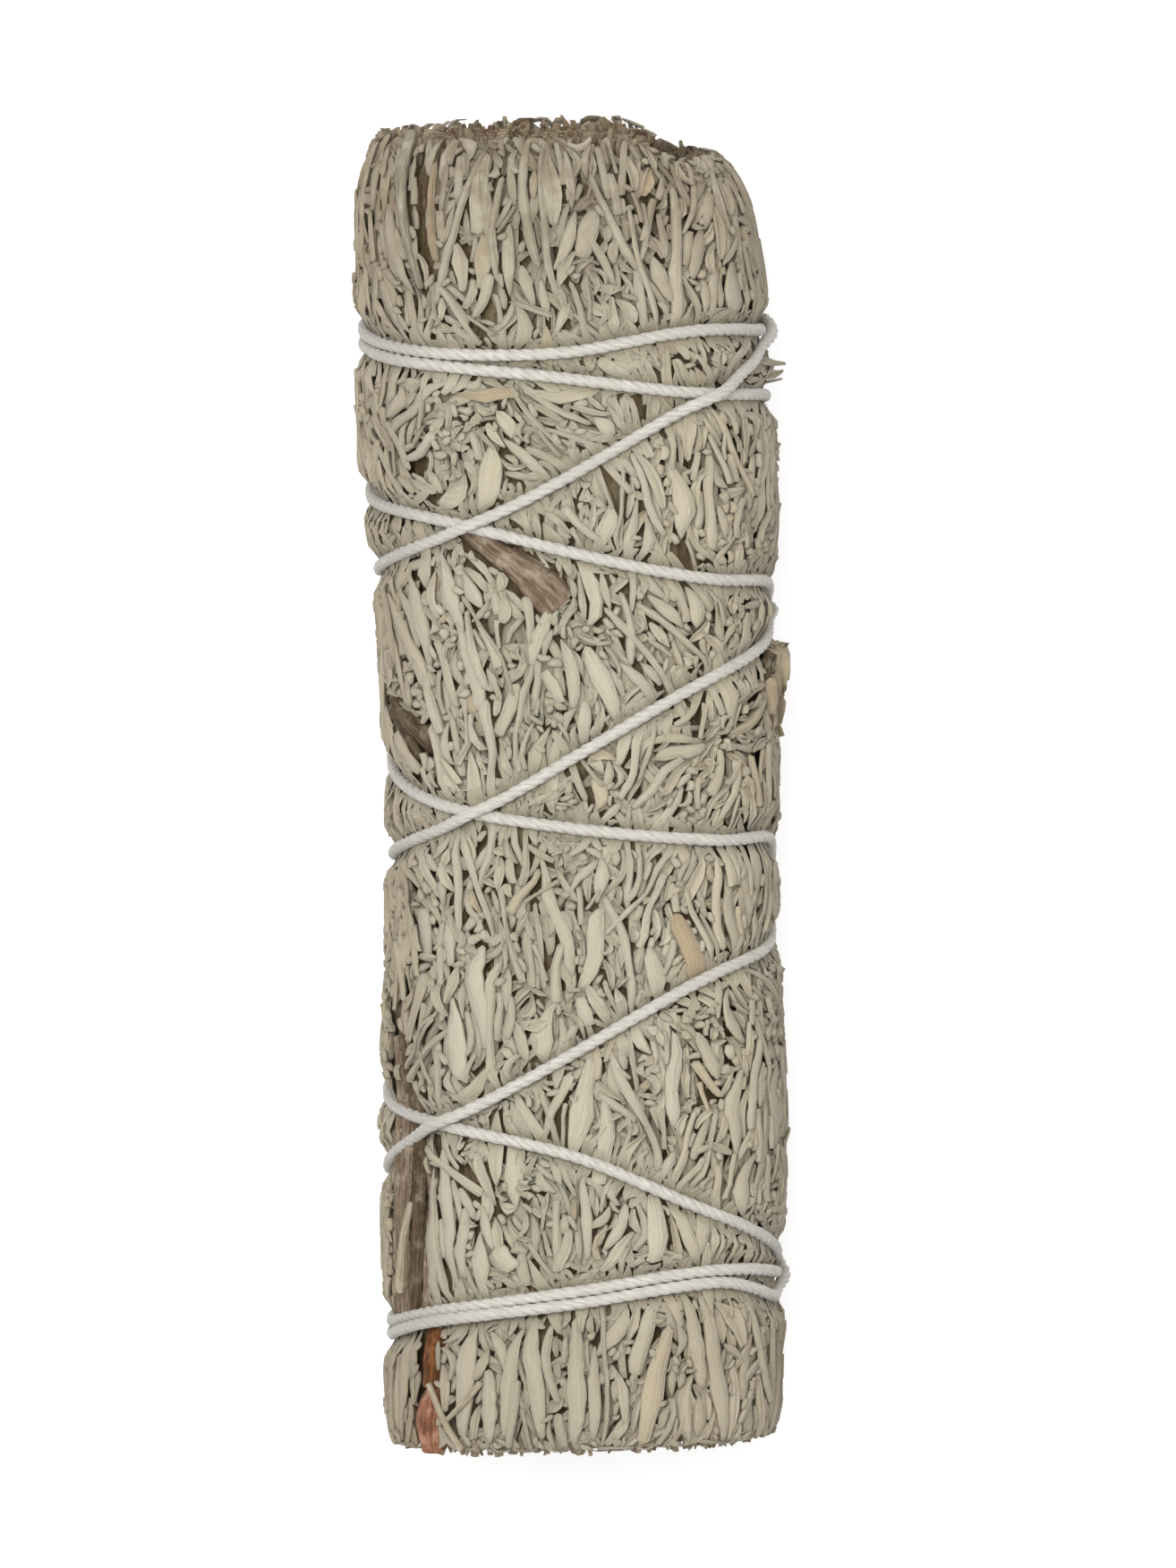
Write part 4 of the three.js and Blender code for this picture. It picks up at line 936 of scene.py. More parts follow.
def lay_all():
    """Lays the leaves of the outside, the listed ones first."""
    keep_twigs_clear()
    lay_chosen()
    lay_standing()
    lay_resting_tufts()
    lay_kind(BLADES + STEMS, 350, (10, 20), (0.6, 1.1), 0.06, (1.3, 1.45), 0.1, uncrumbled)
    lay_kind(LEAVES, 450, (4.5, 7.5), (1.1, 1.7), 0.10, (1.25, 1.45), 0.2, whole_leaves)
    lay_kind(STEMS, 900, (5, 13), (0.4, 0.7), 0.18, (1.3, 1.5), 0.25, whole_leaves)
    lay_kind(["fork"], 450, (3.5, 6.5), (2.0, 3.0), 0.3, (1.3, 1.5), 0.3)
    lay_kind(["cluster"], 1800, (1.6, 2.6), (1.4, 2.0), 0.2, (1.15, 1.35), 1.0, crumbled)
    lay_kind(CRUMBS, 7000, (0.75, 1.25), (0.6, 0.95), 0.06, (1.2, 1.4), 1.5, crumbled)
    lay_kind(LEAVES, 3000, (2.8, 5.2), (0.75, 1.25), 0.16, (1.2, 1.45), 0.35, whole_leaves)
    lay_kind(CURLS, 3000, (1.8, 3.4), (0.6, 1.0), 0.22, (1.15, 1.4), 0.8)
    fill_kind(LEAVES + STEMS, 5000, (2.4, 4.5), (0.5, 0.9), 0.22, (1.15, 1.45), 0.4)
    fill_kind(BITS + STEMS, 7500, (1.3, 2.8), (0.4, 0.75), 0.3, (1.1, 1.4), 0.7)
    tuck_kind(BITS + LEAVES, 1900, (2.0, 4.2), (0.6, 1.1), (0.9, 1.15), 0.6)
    fill_kind(CRUMBS + ["bit_folded"], 4500, (0.7, 1.4), (0.4, 0.65), 0.6, (1.0, 1.3), 1.5)
    tuck_kind(BITS, 1200, (1.8, 3.4), (0.7, 1.2), (0.8, 1.0), 0.9)


def lay_beneath(count):
    """Leaves and stems lower down."""
    for _ in range(count):
        arc, along = rng.uniform(0, PERIMETER), rng.uniform(-HALF_LENGTH, HALF_LENGTH)
        stem = rng.random() < 0.4
        heading = flow(arc, along) + rng.normal(0, 0.45)
        length = rng.uniform(5, 10) if stem else rng.uniform(3, 6)
        width = rng.uniform(0.5, 0.9) if stem else rng.uniform(0.9, 1.5)
        name = one_of(STEMS if stem else BITS, length)
        along = held_in(along, heading, length)
        footprint = covering.footprint(arc, along, heading, length, width, OUTLINES[name])
        if covering.share(covering.kept, footprint) > BENEATH_OVER_TWIGS:
            continue
        lay(name, arc, along, heading, length, width, rng.uniform(0.35, 0.8), tone=rng.uniform(0, 0.7),
            warmth=rng.uniform(0.1, 0.7))


lay_all()
lay_beneath(1300)
KNOB_ROWS = knob_rows()
laid = np.array(laid)

# ---- Node trees that make what repeats ----


def new_tree(name, inputs):
    tree = bpy.data.node_groups.new(name, "GeometryNodeTree")
    tree.interface.new_socket("Geometry", in_out="INPUT", socket_type="NodeSocketGeometry")
    for label, kind in inputs:
        tree.interface.new_socket(label, in_out="INPUT", socket_type=kind)
    tree.interface.new_socket("Geometry", in_out="OUTPUT", socket_type="NodeSocketGeometry")
    return tree


def add(tree, kind, settings=None, **sockets):
    node = tree.nodes.new(kind)
    for key, value in (settings or {}).items():
        setattr(node, key, value)
    for key, value in sockets.items():
        plug(tree, node, key, value)
    return node


def plug(tree, node, key, value):
    socket = node.inputs[int(key[1:])] if key[0] == "_" else node.inputs[key.replace("_", " ")]
    if isinstance(value, bpy.types.NodeSocket):
        tree.links.new(value, socket)
    else:
        socket.default_value = value


def named(tree, attribute, kind):
    node = add(tree, "GeometryNodeInputNamedAttribute", {"data_type": kind}, Name=attribute)
    return node.outputs["Attribute"]


def laying_tree():
    """Puts one of the shapes on each point, turned and sized by the point's own values."""
    tree = new_tree("lay_shapes", [("Shapes", "NodeSocketCollection"), ("Material", "NodeSocketMaterial")])
    given = tree.nodes.new("NodeGroupInput").outputs
    collection = add(
        tree, "GeometryNodeCollectionInfo", Collection=given["Shapes"], Separate_Children=True,
        Reset_Children=True,
    )
    placed = add(
        tree, "GeometryNodeInstanceOnPoints", Points=given["Geometry"], Instance=collection.outputs[0],
        Pick_Instance=True, Instance_Index=named(tree, "shape", "INT"),
        Rotation=named(tree, "facing", "FLOAT_VECTOR"), Scale=named(tree, "size", "FLOAT_VECTOR"),
    )
    real = add(tree, "GeometryNodeRealizeInstances", Geometry=placed.outputs[0])
    dressed = add(tree, "GeometryNodeSetMaterial", Geometry=real.outputs[0], Material=given["Material"])
    out = tree.nodes.new("NodeGroupOutput")
    tree.links.new(dressed.outputs[0], out.inputs[0])
    return tree


LAYING = laying_tree()


def set_inputs(modifier, values):
    for item in modifier.node_group.interface.items_tree:
        if item.item_type == "SOCKET" and item.in_out == "INPUT" and item.name in values:
            modifier[item.identifier] = values[item.name]


def made_by(tree, source, values):
    """The plain mesh that a tree makes of an object, which is then removed."""
    modifier = source.modifiers.new("make", "NODES")
    modifier.node_group = tree
    set_inputs(modifier, values)
    bpy.context.view_layer.update()
    depsgraph = bpy.context.evaluated_depsgraph_get()
    made = bpy.data.meshes.new_from_object(
        source.evaluated_get(depsgraph), preserve_all_data_layers=True, depsgraph=depsgraph,
    )
    bpy.data.objects.remove(source)
    return made


def laid_mesh(rows, material):
    """The shapes of some rows of the layout, as a mesh on the flat sheet."""
    source = mesh_object("laying_points", rows[:, 1:4], [])
    attributes = source.data.attributes
    attributes.new("shape", "INT", "POINT").data.foreach_set("value", rows[:, 0].astype(np.int32))
    facing = np.stack([rows[:, 5], rows[:, 6], -rows[:, 4]], axis=1).astype(np.float32)
    attributes.new("facing", "FLOAT_VECTOR", "POINT").data.foreach_set("vector", facing.ravel())
    size = rows[:, 7:10].astype(np.float32)
    attributes.new("size", "FLOAT_VECTOR", "POINT").data.foreach_set("vector", size.ravel())
    for column, attribute in ((10, "tone"), (11, "warmth"), (12, "loose")):
        stored = attributes.new(attribute, "FLOAT", "POINT")
        stored.data.foreach_set("value", rows[:, column].astype(np.float32))
    return made_by(LAYING, source, {"Shapes": shapes, "Material": material})


# ---- Materials ----


def shader(name):
    material = bpy.data.materials.new(name)
    material.use_nodes = True
    tree = material.node_tree
    return material, tree, tree.nodes["Principled BSDF"]


def colour(r, g, b):
    """A colour given as it looks on a screen, 0 to 255."""
    linear = [((c / 255 + 0.055) / 1.055) ** 2.4 if c > 10 else c / 255 / 12.92 for c in (r, g, b)]
    return (*linear, 1)


def value_of(tree, attribute):
    return add(tree, "ShaderNodeAttribute", {"attribute_name": attribute}).outputs["Fac"]


def noise(tree, scale, detail=4, roughness=0.55, vector=None):
    node = add(tree, "ShaderNodeTexNoise", Scale=scale, Detail=detail, Roughness=roughness)
    if vector is None:
        vector = add(tree, "ShaderNodeTexCoord").outputs["Object"]
    tree.links.new(vector, node.inputs["Vector"])
    return node.outputs["Fac"]


def blend(tree, factor, low, high):
    node = add(tree, "ShaderNodeMix", {"data_type": "RGBA"})
    for socket, given in zip((node.inputs[0], node.inputs[6], node.inputs[7]), (factor, low, high)):
        if isinstance(given, bpy.types.NodeSocket):
            tree.links.new(given, socket)
        else:
            socket.default_value = given
    return node.outputs[2]


def spread(tree, value, low, high, to_low=0.0, to_high=1.0):
    node = add(tree, "ShaderNodeMapRange", {"interpolation_type": "SMOOTHSTEP"})
    for index, given in enumerate((value, low, high, to_low, to_high)):
        plug(tree, node, f"_{index}", given)
    return node.outputs["Result"]


def maths(tree, operation, first, second=0.0):
    return add(tree, "ShaderNodeMath", {"operation": operation}, _0=first, _1=second).outputs[0]


def place_in_bunch(tree):
    """The place of a point along each axis, in metres."""
    place = add(tree, "ShaderNodeTexCoord").outputs["Object"]
    return add(tree, "ShaderNodeSeparateXYZ", _0=place).outputs


def facing_an_end(tree):
    """How squarely a surface faces one of the bunch's ends, from 0 to 1."""
    normal = add(tree, "ShaderNodeTexCoord").outputs["Normal"]
    return maths(tree, "ABSOLUTE", add(tree, "ShaderNodeSeparateXYZ", _0=normal).outputs["Y"])


def finish_surface(tree, surface, base, roughness, specular, bump):
    tree.links.new(base, surface.inputs["Base Color"])
    surface.inputs["Roughness"].default_value = roughness
    surface.inputs["Specular IOR Level"].default_value = specular
    tree.links.new(bump.outputs[0], surface.inputs["Normal"])


# Painted shade: dark brown laid on leaf edges, on leaves lying lower between others and on the cut ends'
# sides.
CREVICE_SHADE = colour(92, 78, 57)
# Brown of leaves that have turned brown, and also painted shade at the bunch's sides, foot and top.
BROWNING_AND_SHADE = colour(120, 101, 78)


def sage_material(name, pale, shaded, tan):
    """Dried sage: felted grey-green leaves, some turned tan; painted shade darkens them down between each
    other, at their edges and midribs, at the bunch's sides and foot, and with some browning at its top; a
    painted highlight lightens their rims.
    """
    material, tree, surface = shader(name)
    tone, warmth, lift = (value_of(tree, attribute) for attribute in ("tone", "warmth", "lift"))
    across, lengthwise = value_of(tree, "across"), value_of(tree, "lengthwise")
    mottle = noise(tree, 900, 5, 0.6)
    fibre_place = add(
        tree, "ShaderNodeCombineXYZ", _0=maths(tree, "MULTIPLY", across, 3.2),
        _1=maths(tree, "MULTIPLY", lengthwise, 1.6), _2=maths(tree, "MULTIPLY", tone, 60),
    ).outputs[0]
    fibres = noise(tree, 1.0, 4, 0.65, fibre_place)
    leaf = blend(tree, tone, shaded, pale)
    leaf = blend(tree, spread(tree, warmth, 0.6, 1.0), leaf, tan)
    leaf = blend(tree, spread(tree, mottle, 0.38, 0.7, 0.0, 0.3), leaf, blend(tree, 0.5, shaded, tan))
    leaf = blend(tree, spread(tree, fibres, 0.5, 0.75, 0.0, 0.5), leaf, shaded)
    leaf = blend(tree, spread(tree, fibres, 0.25, 0.45, 0.35, 0.0), leaf, pale)
    side = maths(tree, "ABSOLUTE", across)
    # Painted highlight: the leaf lighter towards its raised rims.
    leaf = blend(tree, spread(tree, side, 0.5, 0.88, 0.0, 0.4), leaf, pale)
    # Painted shade: a darker line along the midrib groove.
    leaf = blend(tree, spread(tree, side, 0.0, 0.2, 0.22, 0.0), leaf, shaded)
    # Painted shade: a dark outline at the leaf's very edges.
    leaf = blend(tree, spread(tree, side, 0.91, 1.0, 0.0, 0.6), leaf, CREVICE_SHADE)
    leaf = blend(tree, spread(tree, warmth, 0.84, 0.9, 0.0, 0.3), leaf, BROWNING_AND_SHADE)
    # Painted shade: the lower a leaf lies among the others, the darker it is.
    leaf = blend(tree, spread(tree, lift, 0.3, 1.15, 0.42, 0.0), leaf, CREVICE_SHADE)
    leaf = blend(tree, spread(tree, noise(tree, 75, 2), 0.45, 0.7, 0.0, 0.1), leaf, shaded)
    place = place_in_bunch(tree)
    along = place["Y"]
    sideways = maths(tree, "ABSOLUTE", place["X"])
    # Painted shade: the leaves darker towards the bunch's left and right sides.
    leaf = blend(tree, spread(tree, sideways, 0.011, 0.0155, 0.0, 0.3), leaf, BROWNING_AND_SHADE)
    # Painted shade, together with some browning, in noisy patches towards the top.
    browning_and_shade_patches = spread(tree, noise(tree, 420, 3), 0.4, 0.65, 0.4, 1.0)
    top = spread(tree, along, 0.032, 0.053, 0.0, 1.0)
    leaf = blend(tree, maths(tree, "MULTIPLY", top, maths(tree, "MULTIPLY", browning_and_shade_patches, 0.62)), leaf, BROWNING_AND_SHADE)
    # Painted shade: the gaps between leaves darker towards the top.
    leaf = blend(tree, maths(tree, "MULTIPLY", top, spread(tree, lift, 0.6, 1.35, 0.75, 0.0)), leaf, CREVICE_SHADE)
    # Painted shade: darker towards the foot.
    leaf = blend(tree, spread(tree, along, -0.036, -0.046, 0.0, 0.2), leaf, BROWNING_AND_SHADE)
    surface.inputs["Sheen Weight"].default_value = 0.15
    felt = add(tree, "ShaderNodeBump", Strength=0.5, Distance=0.00012, Height=noise(tree, 3400, 3)).outputs[0]
    wrinkle = add(tree, "ShaderNodeBump", Strength=0.8, Distance=0.0003, Height=fibres, Normal=felt)
    finish_surface(tree, surface, leaf, 0.92, 0.15, wrinkle)
    return material


def packed_material(name, brown, pale):
    """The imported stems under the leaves: brown bark and dust, streaked along the bunch."""
    material, tree, surface = shader(name)
    along = add(tree, "ShaderNodeMapping", Vector=add(tree, "ShaderNodeTexCoord").outputs["Object"])
    along.inputs["Scale"].default_value = (1, 0.25, 1)
    streak = noise(tree, 1400, 5, 0.6, along.outputs[0])
    crumbs = noise(tree, 2600, 4, 0.7)
    packed = blend(tree, spread(tree, streak, 0.4, 0.65), brown, pale)
    packed = blend(tree, spread(tree, crumbs, 0.5, 0.72, 0, 0.6), packed, colour(40, 30, 20))
    cut = blend(tree, noise(tree, 2200, 3, 0.6), colour(104, 88, 64), colour(172, 154, 124))
    packed = blend(tree, spread(tree, facing_an_end(tree), 0.7, 0.9, 0.0, 0.8), packed, cut)
    bump = add(tree, "ShaderNodeBump", Strength=0.8, Distance=0.0004, Height=streak)
    finish_surface(tree, surface, packed, 0.95, 0.1, bump)
    return material


SLOT_COLOURS = {
    "sage_leaf_grey": ((185, 178, 159), (173, 165, 145), (187, 169, 138)),
    "sage_leaf_tan": ((187, 178, 157), (174, 165, 143), (190, 169, 136)),
    "sage_leaf_pale": ((188, 181, 161), (177, 169, 149), (190, 171, 140)),
    "sage_leaf_green": ((184, 178, 157), (171, 165, 144), (187, 169, 136)),
}
SAGE = {
    slot: sage_material(slot, *(colour(*shade) for shade in shades)) for slot, shades in SLOT_COLOURS.items()
}
PACKED = packed_material("packed_stems", colour(92, 77, 56), colour(128, 114, 89))


def cut_end_material():
    """Cut stems and leaves: brown bark, dusty grey leaf edges, and paler pith on the cut, with painted shade
    darkening their sides and what lies deeper in the end.
    """
    material, tree, surface = shader("cut_stem_ends")
    tone, warmth, lift = (value_of(tree, attribute) for attribute in ("tone", "warmth", "lift"))
    across = value_of(tree, "across")
    stem = blend(tree, warmth, colour(112, 94, 75), colour(156, 144, 123))
    stem = blend(tree, spread(tree, warmth, 0.15, 0.05, 0.0, 0.45), stem, colour(116, 84, 66))
    stem = blend(tree, spread(tree, tone, 0.1, 0.6, 0.6, 0.0), stem, colour(72, 56, 42))
    stem = blend(tree, spread(tree, noise(tree, 1500, 4, 0.6), 0.45, 0.7, 0, 0.5), stem, colour(92, 74, 54))
    # Painted shade: each cut piece darker towards its sides.
    stem = blend(tree, spread(tree, maths(tree, "ABSOLUTE", across), 0.5, 1.0, 0, 0.35), stem, CREVICE_SHADE)
    pith = blend(tree, noise(tree, 1300, 3), colour(120, 99, 74), colour(176, 158, 130))
    stem = blend(tree, spread(tree, facing_an_end(tree), 0.7, 0.9, 0.0, 0.7), stem, pith)
    # Painted shade: darker the deeper a piece lies within the end.
    stem = blend(tree, spread(tree, lift, -1.6, -0.3, 0.5, 0.0), stem, colour(66, 52, 38))
    bump = add(tree, "ShaderNodeBump", Strength=0.6, Distance=0.0003, Height=noise(tree, 1800, 4))
    finish_surface(tree, surface, stem, 0.93, 0.12, bump)
    return material


CUT_ENDS = cut_end_material()

# ---- The sprigs ----

OUTER_SPRIGS = 12
INNER_SPRIGS = 6
OUTER_REACH = (0.66, 1.0)
INNER_REACH = (0.3, 0.66)
SLOT_ORDER = ["sage_leaf_grey", "sage_leaf_tan", "sage_leaf_pale", "sage_leaf_green"]
CARRIED = ["tone", "warmth", "across", "lengthwise"]  # values that a laid leaf brings along
SIDE_LIFT = 0.3  # the leaves stand that much further out at the bunch's sides

# Slight waves that crumple the sheet of leaves: wave length, and heading from the bunch's length in radians.
CRUMPLES = [(2.9, 1.7), (3.6, 2.6), (4.4, 0.9), (5.8, 2.1), (7.5, 3.0)]
CRUMPLE = 0.022  # depth of each wave as a share of its length
# Near the ends the leaves lie straighter: the middle of the crumpled stretch, half its length, and over how
# much more of the length the waves get lower.
CRUMPLED_STRETCH = (-1, 36, 10)
# The leaves are pressed under a ceiling, which is low along the string and rises away from it.
CEILING = {"lowest": 0.5, "highest": 1.75, "level to": 0.4, "rise": 0.62, "curve": 1.2}
LOOSE_RISE = 3  # how much higher loose leaves may stand
LOOSE_FROM = 1.2  # distance from the string from which they may
PRESSED_SOFTLY = 0.1
DEEPEST = -1.0
TRIMMED_SOFTLY = 0.12
TRIMMED_SHARE = 0.9


def crumpled(sheet):
    """The sheet with its leaves bent a little, each like its neighbours."""
    moved = sheet.copy()
    middle, half_stretch, fade = CRUMPLED_STRETCH
    share = CRUMPLE * (1 - 0.7 * np.clip((np.abs(sheet[:, 1] - middle) - half_stretch) / fade, 0, 1))
    for number, (length, way) in enumerate(CRUMPLES):
        phase = 2 * math.pi * (sheet[:, 0] * math.sin(way) + sheet[:, 1] * math.cos(way)) / length
        moved[:, 0] += share * length * np.sin(phase + 2.4 * number + 0.7 * sheet[:, 2])
        moved[:, 1] += share * length * np.sin(phase + 1.9 * number + 1.6)
        moved[:, 2] += 0.3 * share * length * np.sin(1.7 * phase + 3.1 * number)
    return moved


def settle(sheet, loose):
    """Presses leaves down under the string and level between its turns."""
    angle = angle_at(sheet[:, 0])
    distance = string_distance(angle, sheet[:, 1])
    under = np.clip(-np.sin(angle), 0, 1)
    away = np.maximum(0, distance - CEILING["level to"])
    ceiling = CEILING["lowest"] + (STRING_BELLY_LIFT - STRING_LIFT) * under
    ceiling = np.minimum(CEILING["highest"], ceiling + CEILING["rise"] * away ** CEILING["curve"])
    ceiling = ceiling + loose * LOOSE_RISE * (distance > LOOSE_FROM)
    pressed = PRESSED_SOFTLY * np.logaddexp(0, (sheet[:, 2] - ceiling) / PRESSED_SOFTLY)
    return np.maximum(sheet[:, 2] - pressed, DEEPEST)


def trimmed(along):
    """Presses what still reaches past the bunch's ends back towards them."""
    past_top = np.logaddexp(0, (along - HALF_LENGTH - PAST_TOP) / TRIMMED_SOFTLY)
    past_foot = np.logaddexp(0, (-along - HALF_LENGTH + SHORT_OF_FOOT) / TRIMMED_SOFTLY)
    return along - TRIMMED_SHARE * TRIMMED_SOFTLY * (past_top - past_foot)


def rolled_leaves(rows, material, number=0):
    mesh = laid_mesh(rows, material)
    sheet = crumpled(points_of(mesh))
    values = {attribute: values_of(mesh, attribute) for attribute in CARRIED + ["loose"]}
    height = settle(sheet, values["loose"])
    along = trimmed(sheet[:, 1])
    angle = angle_at(sheet[:, 0])
    points = on_bunch(angle, along, height + SIDE_LIFT * np.cos(angle) ** 2)
    values["lift"] = height
    outward_faces = [face[::-1] for face in faces_of(mesh)]  # rolling the sheet up mirrors it
    part = points, outward_faces, number, values, smooth_faces_of(mesh)
    bpy.data.meshes.remove(mesh)
    return part


def strip_part(angles, alongs, inner, outer, number, lift):
    """A closed strip of packed stems between two angles, two ends and two shares of the radius."""
    sections = []
    for along in alongs:
        place = np.full(len(angles), along)
        sections.append(np.concatenate([within(angles, place, outer), within(angles[::-1], place, inner)]))
    size = len(sections[0])
    points = np.concatenate(sections)
    faces = []
    for row in range(len(alongs) - 1):
        for i in range(size):
            a, b = row * size + i, row * size + (i + 1) % size
            faces.append((a, a + size, b + size, b))
    last = (len(alongs) - 1) * size
    for i in range(size // 2 - 1):
        quad = (i, i + 1, size - 2 - i, size - 1 - i)
        faces.append(quad)
        faces.append(tuple(last + corner for corner in quad[::-1]))
    return points, faces, number, {"lift": np.full(len(points), lift)}


END_GAP = 0.74  # distance between cut stems, which then stray by up to END_STRAY
END_STRAY = 0.35
END_KINDS = [
    "stub", "stub", "stem_plain.0", "leaf_folded.1", "leaf_curled.2", "bit_curled.0", "bit_folded.3",
    "crumb_bent.1", "crumb_long.2",
]
END_REACH = 1.09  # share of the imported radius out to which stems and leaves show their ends
PACKED_HALF_LENGTH = HALF_LENGTH - 1.2


def cut_ends(facing, seed):
    """Cut stems and leaves at one end: rows to lay, and their angles and shares of the bunch's radius."""
    draw = np.random.default_rng(seed)
    rows, places = [], []
    for x in np.arange(-17, 17, END_GAP):
        for z in np.arange(-15, 15, END_GAP):
            at_x, at_z = x + draw.uniform(-END_STRAY, END_STRAY), z + draw.uniform(-END_STRAY, END_STRAY)
            angle = math.atan2(at_z, at_x) % (2 * math.pi)
            radius = float(bunch_radius(np.array(angle), np.array(facing * HALF_LENGTH)))
            share = math.hypot(at_x, at_z) / radius
            if share > END_REACH:
                continue
            kind = draw.choice(END_KINDS)
            length, width = draw.uniform(1.8, 3.2), 0.4 + 0.7 * draw.random() ** 1.5
            width = min(width, 0.6 + 6 * max(0, 1.06 - share))
            proud = draw.uniform(-0.6, 0.5)
            if draw.random() < 0.06 * (2 + facing):
                proud += draw.uniform(0.2, 0.6)
            proud = min(proud, 0.75 + 0.35 * facing)
            along = facing * (HALF_LENGTH + proud - length / 2)
            side = math.acos(max(-1.0, min(1.0, share * math.cos(angle))))
            along -= SHOULDER["depth"] * float(shoulder_drop(side, facing * HALF_LENGTH))
            leafy = min(1.0, max(0.0, (share - 0.8) / 0.2))
            rows.append((
                SHAPE_NUMBER[kind], AXIS[0] + at_x, AXIS[1] + along, AXIS[2] + at_z,
                draw.normal(0, 0.2), draw.normal(0, 0.2), draw.uniform(0, 2 * math.pi), width, length, width,
                draw.uniform(0.5 * leafy, 1), draw.uniform(0.6 * leafy, 1), 0,
            ))
            places.append((angle, share))
    return np.array(rows), np.array(places)


END_ROWS, END_PLACES = (np.concatenate(both) for both in zip(cut_ends(1, 31), cut_ends(-1, 32)))


def cut_ends_part(low, high, reach, number):
    """The cut ends between two angles and two shares of the radius."""
    held = (END_PLACES[:, 0] >= low) & (END_PLACES[:, 0] < high)
    held &= (END_PLACES[:, 1] >= reach[0]) & (END_PLACES[:, 1] < reach[1])
    mesh = laid_mesh(END_ROWS[held], CUT_ENDS)
    points = points_of(mesh)
    values = {attribute: values_of(mesh, attribute) for attribute in CARRIED}
    values["lift"] = np.abs(points[:, 1] - AXIS[1]) - HALF_LENGTH
    part = points, faces_of(mesh), number, values, smooth_faces_of(mesh)
    bpy.data.meshes.remove(mesh)
    return part


ATTRIBUTES = CARRIED + ["lift"]
ALONG_STATIONS = np.linspace(-PACKED_HALF_LENGTH, PACKED_HALF_LENGTH, 37)


def outer_sprig(number):
    angles = np.radians(np.linspace(30 * (number - 1), 30 * number, 9))
    low, high = (angles[0], angles[-1])
    where = np.mod(angle_at(laid[:, 1]), 2 * math.pi)
    rows = laid[(where >= low) & (where < high)]
    slot = SLOT_ORDER[(number - 1) % 4]
    parts = [
        rolled_leaves(rows, SAGE[slot]),
        strip_part(angles, ALONG_STATIONS, OUTER_REACH[0], 1, 1, -0.3),
        cut_ends_part(low, high, (OUTER_REACH[0], END_REACH), 2),
    ]
    name = f"outer_sprig_{number:02d}"
    piece = joined(f"{name}_leaves", parts, [SAGE[slot], PACKED, CUT_ENDS], ATTRIBUTES)
    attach(piece, "root")
    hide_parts(name)


def inner_sprig(number):
    angles = np.radians(np.linspace(60 * (number - 1), 60 * number, 9))
    parts = [
        strip_part(angles, ALONG_STATIONS[::4], INNER_REACH[0], INNER_REACH[1], 0, -0.6),
        cut_ends_part(angles[0], angles[-1], INNER_REACH, 1),
    ]
    name = f"inner_sprig_{number}"
    piece = joined(f"{name}_stems", parts, [PACKED, CUT_ENDS], ATTRIBUTES)
    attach(piece, "root")
    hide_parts(name)


def heart_sprig():
    angles = np.linspace(0, 2 * math.pi, 25)[:-1]
    stations = ALONG_STATIONS[::4]
    rings = [within(angles, np.full(24, along), INNER_REACH[0]) for along in stations]
    end_places = (stations[0] - 0.01, stations[-1] + 0.01)
    ends = [AXIS + np.array([girth_at(along)[1], along, 0]) for along in end_places]
    points = np.concatenate([*rings, np.array(ends)])
    faces = [face[::-1] for face in tube_faces(len(stations), 24)]
    body = points, faces, 0, {"lift": np.full(len(points), -0.6)}
    parts = [body, cut_ends_part(0, 2 * math.pi, (0, INNER_REACH[0]), 1)]
    piece = joined("heart_sprig_stems", parts, [PACKED, CUT_ENDS], ATTRIBUTES)
    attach(piece, "root")
    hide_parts("heart_sprig")


for number in range(1, OUTER_SPRIGS + 1):
    outer_sprig(number)
for number in range(1, INNER_SPRIGS + 1):
    inner_sprig(number)
heart_sprig()

# ---- The twigs ----

TWIG_SIDES = 16
TWIG_STEP = 0.35
TWIG_RISE = 0.6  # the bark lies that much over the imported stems


def run_through(run):
    """A twig's run as a smooth line of places, half widths and half thicknesses."""
    nodes = np.array(run, float)
    coarse = smooth_through(nodes, np.linspace(0, len(nodes) - 1, 60))
    middle = on_bunch(np.radians(coarse[:, 0]), coarse[:, 1], coarse[:, 2])
    length = np.linalg.norm(np.diff(middle, axis=0), axis=1).sum()
    line = smooth_through(nodes, np.linspace(0, len(nodes) - 1, max(8, int(length / TWIG_STEP))))
    middle = on_bunch(np.radians(line[:, 0]), line[:, 1], line[:, 2] + TWIG_RISE)
    outward = outward_at(np.radians(line[:, 0]), line[:, 1])
    return middle, outward, line[:, 3], line[:, 4]


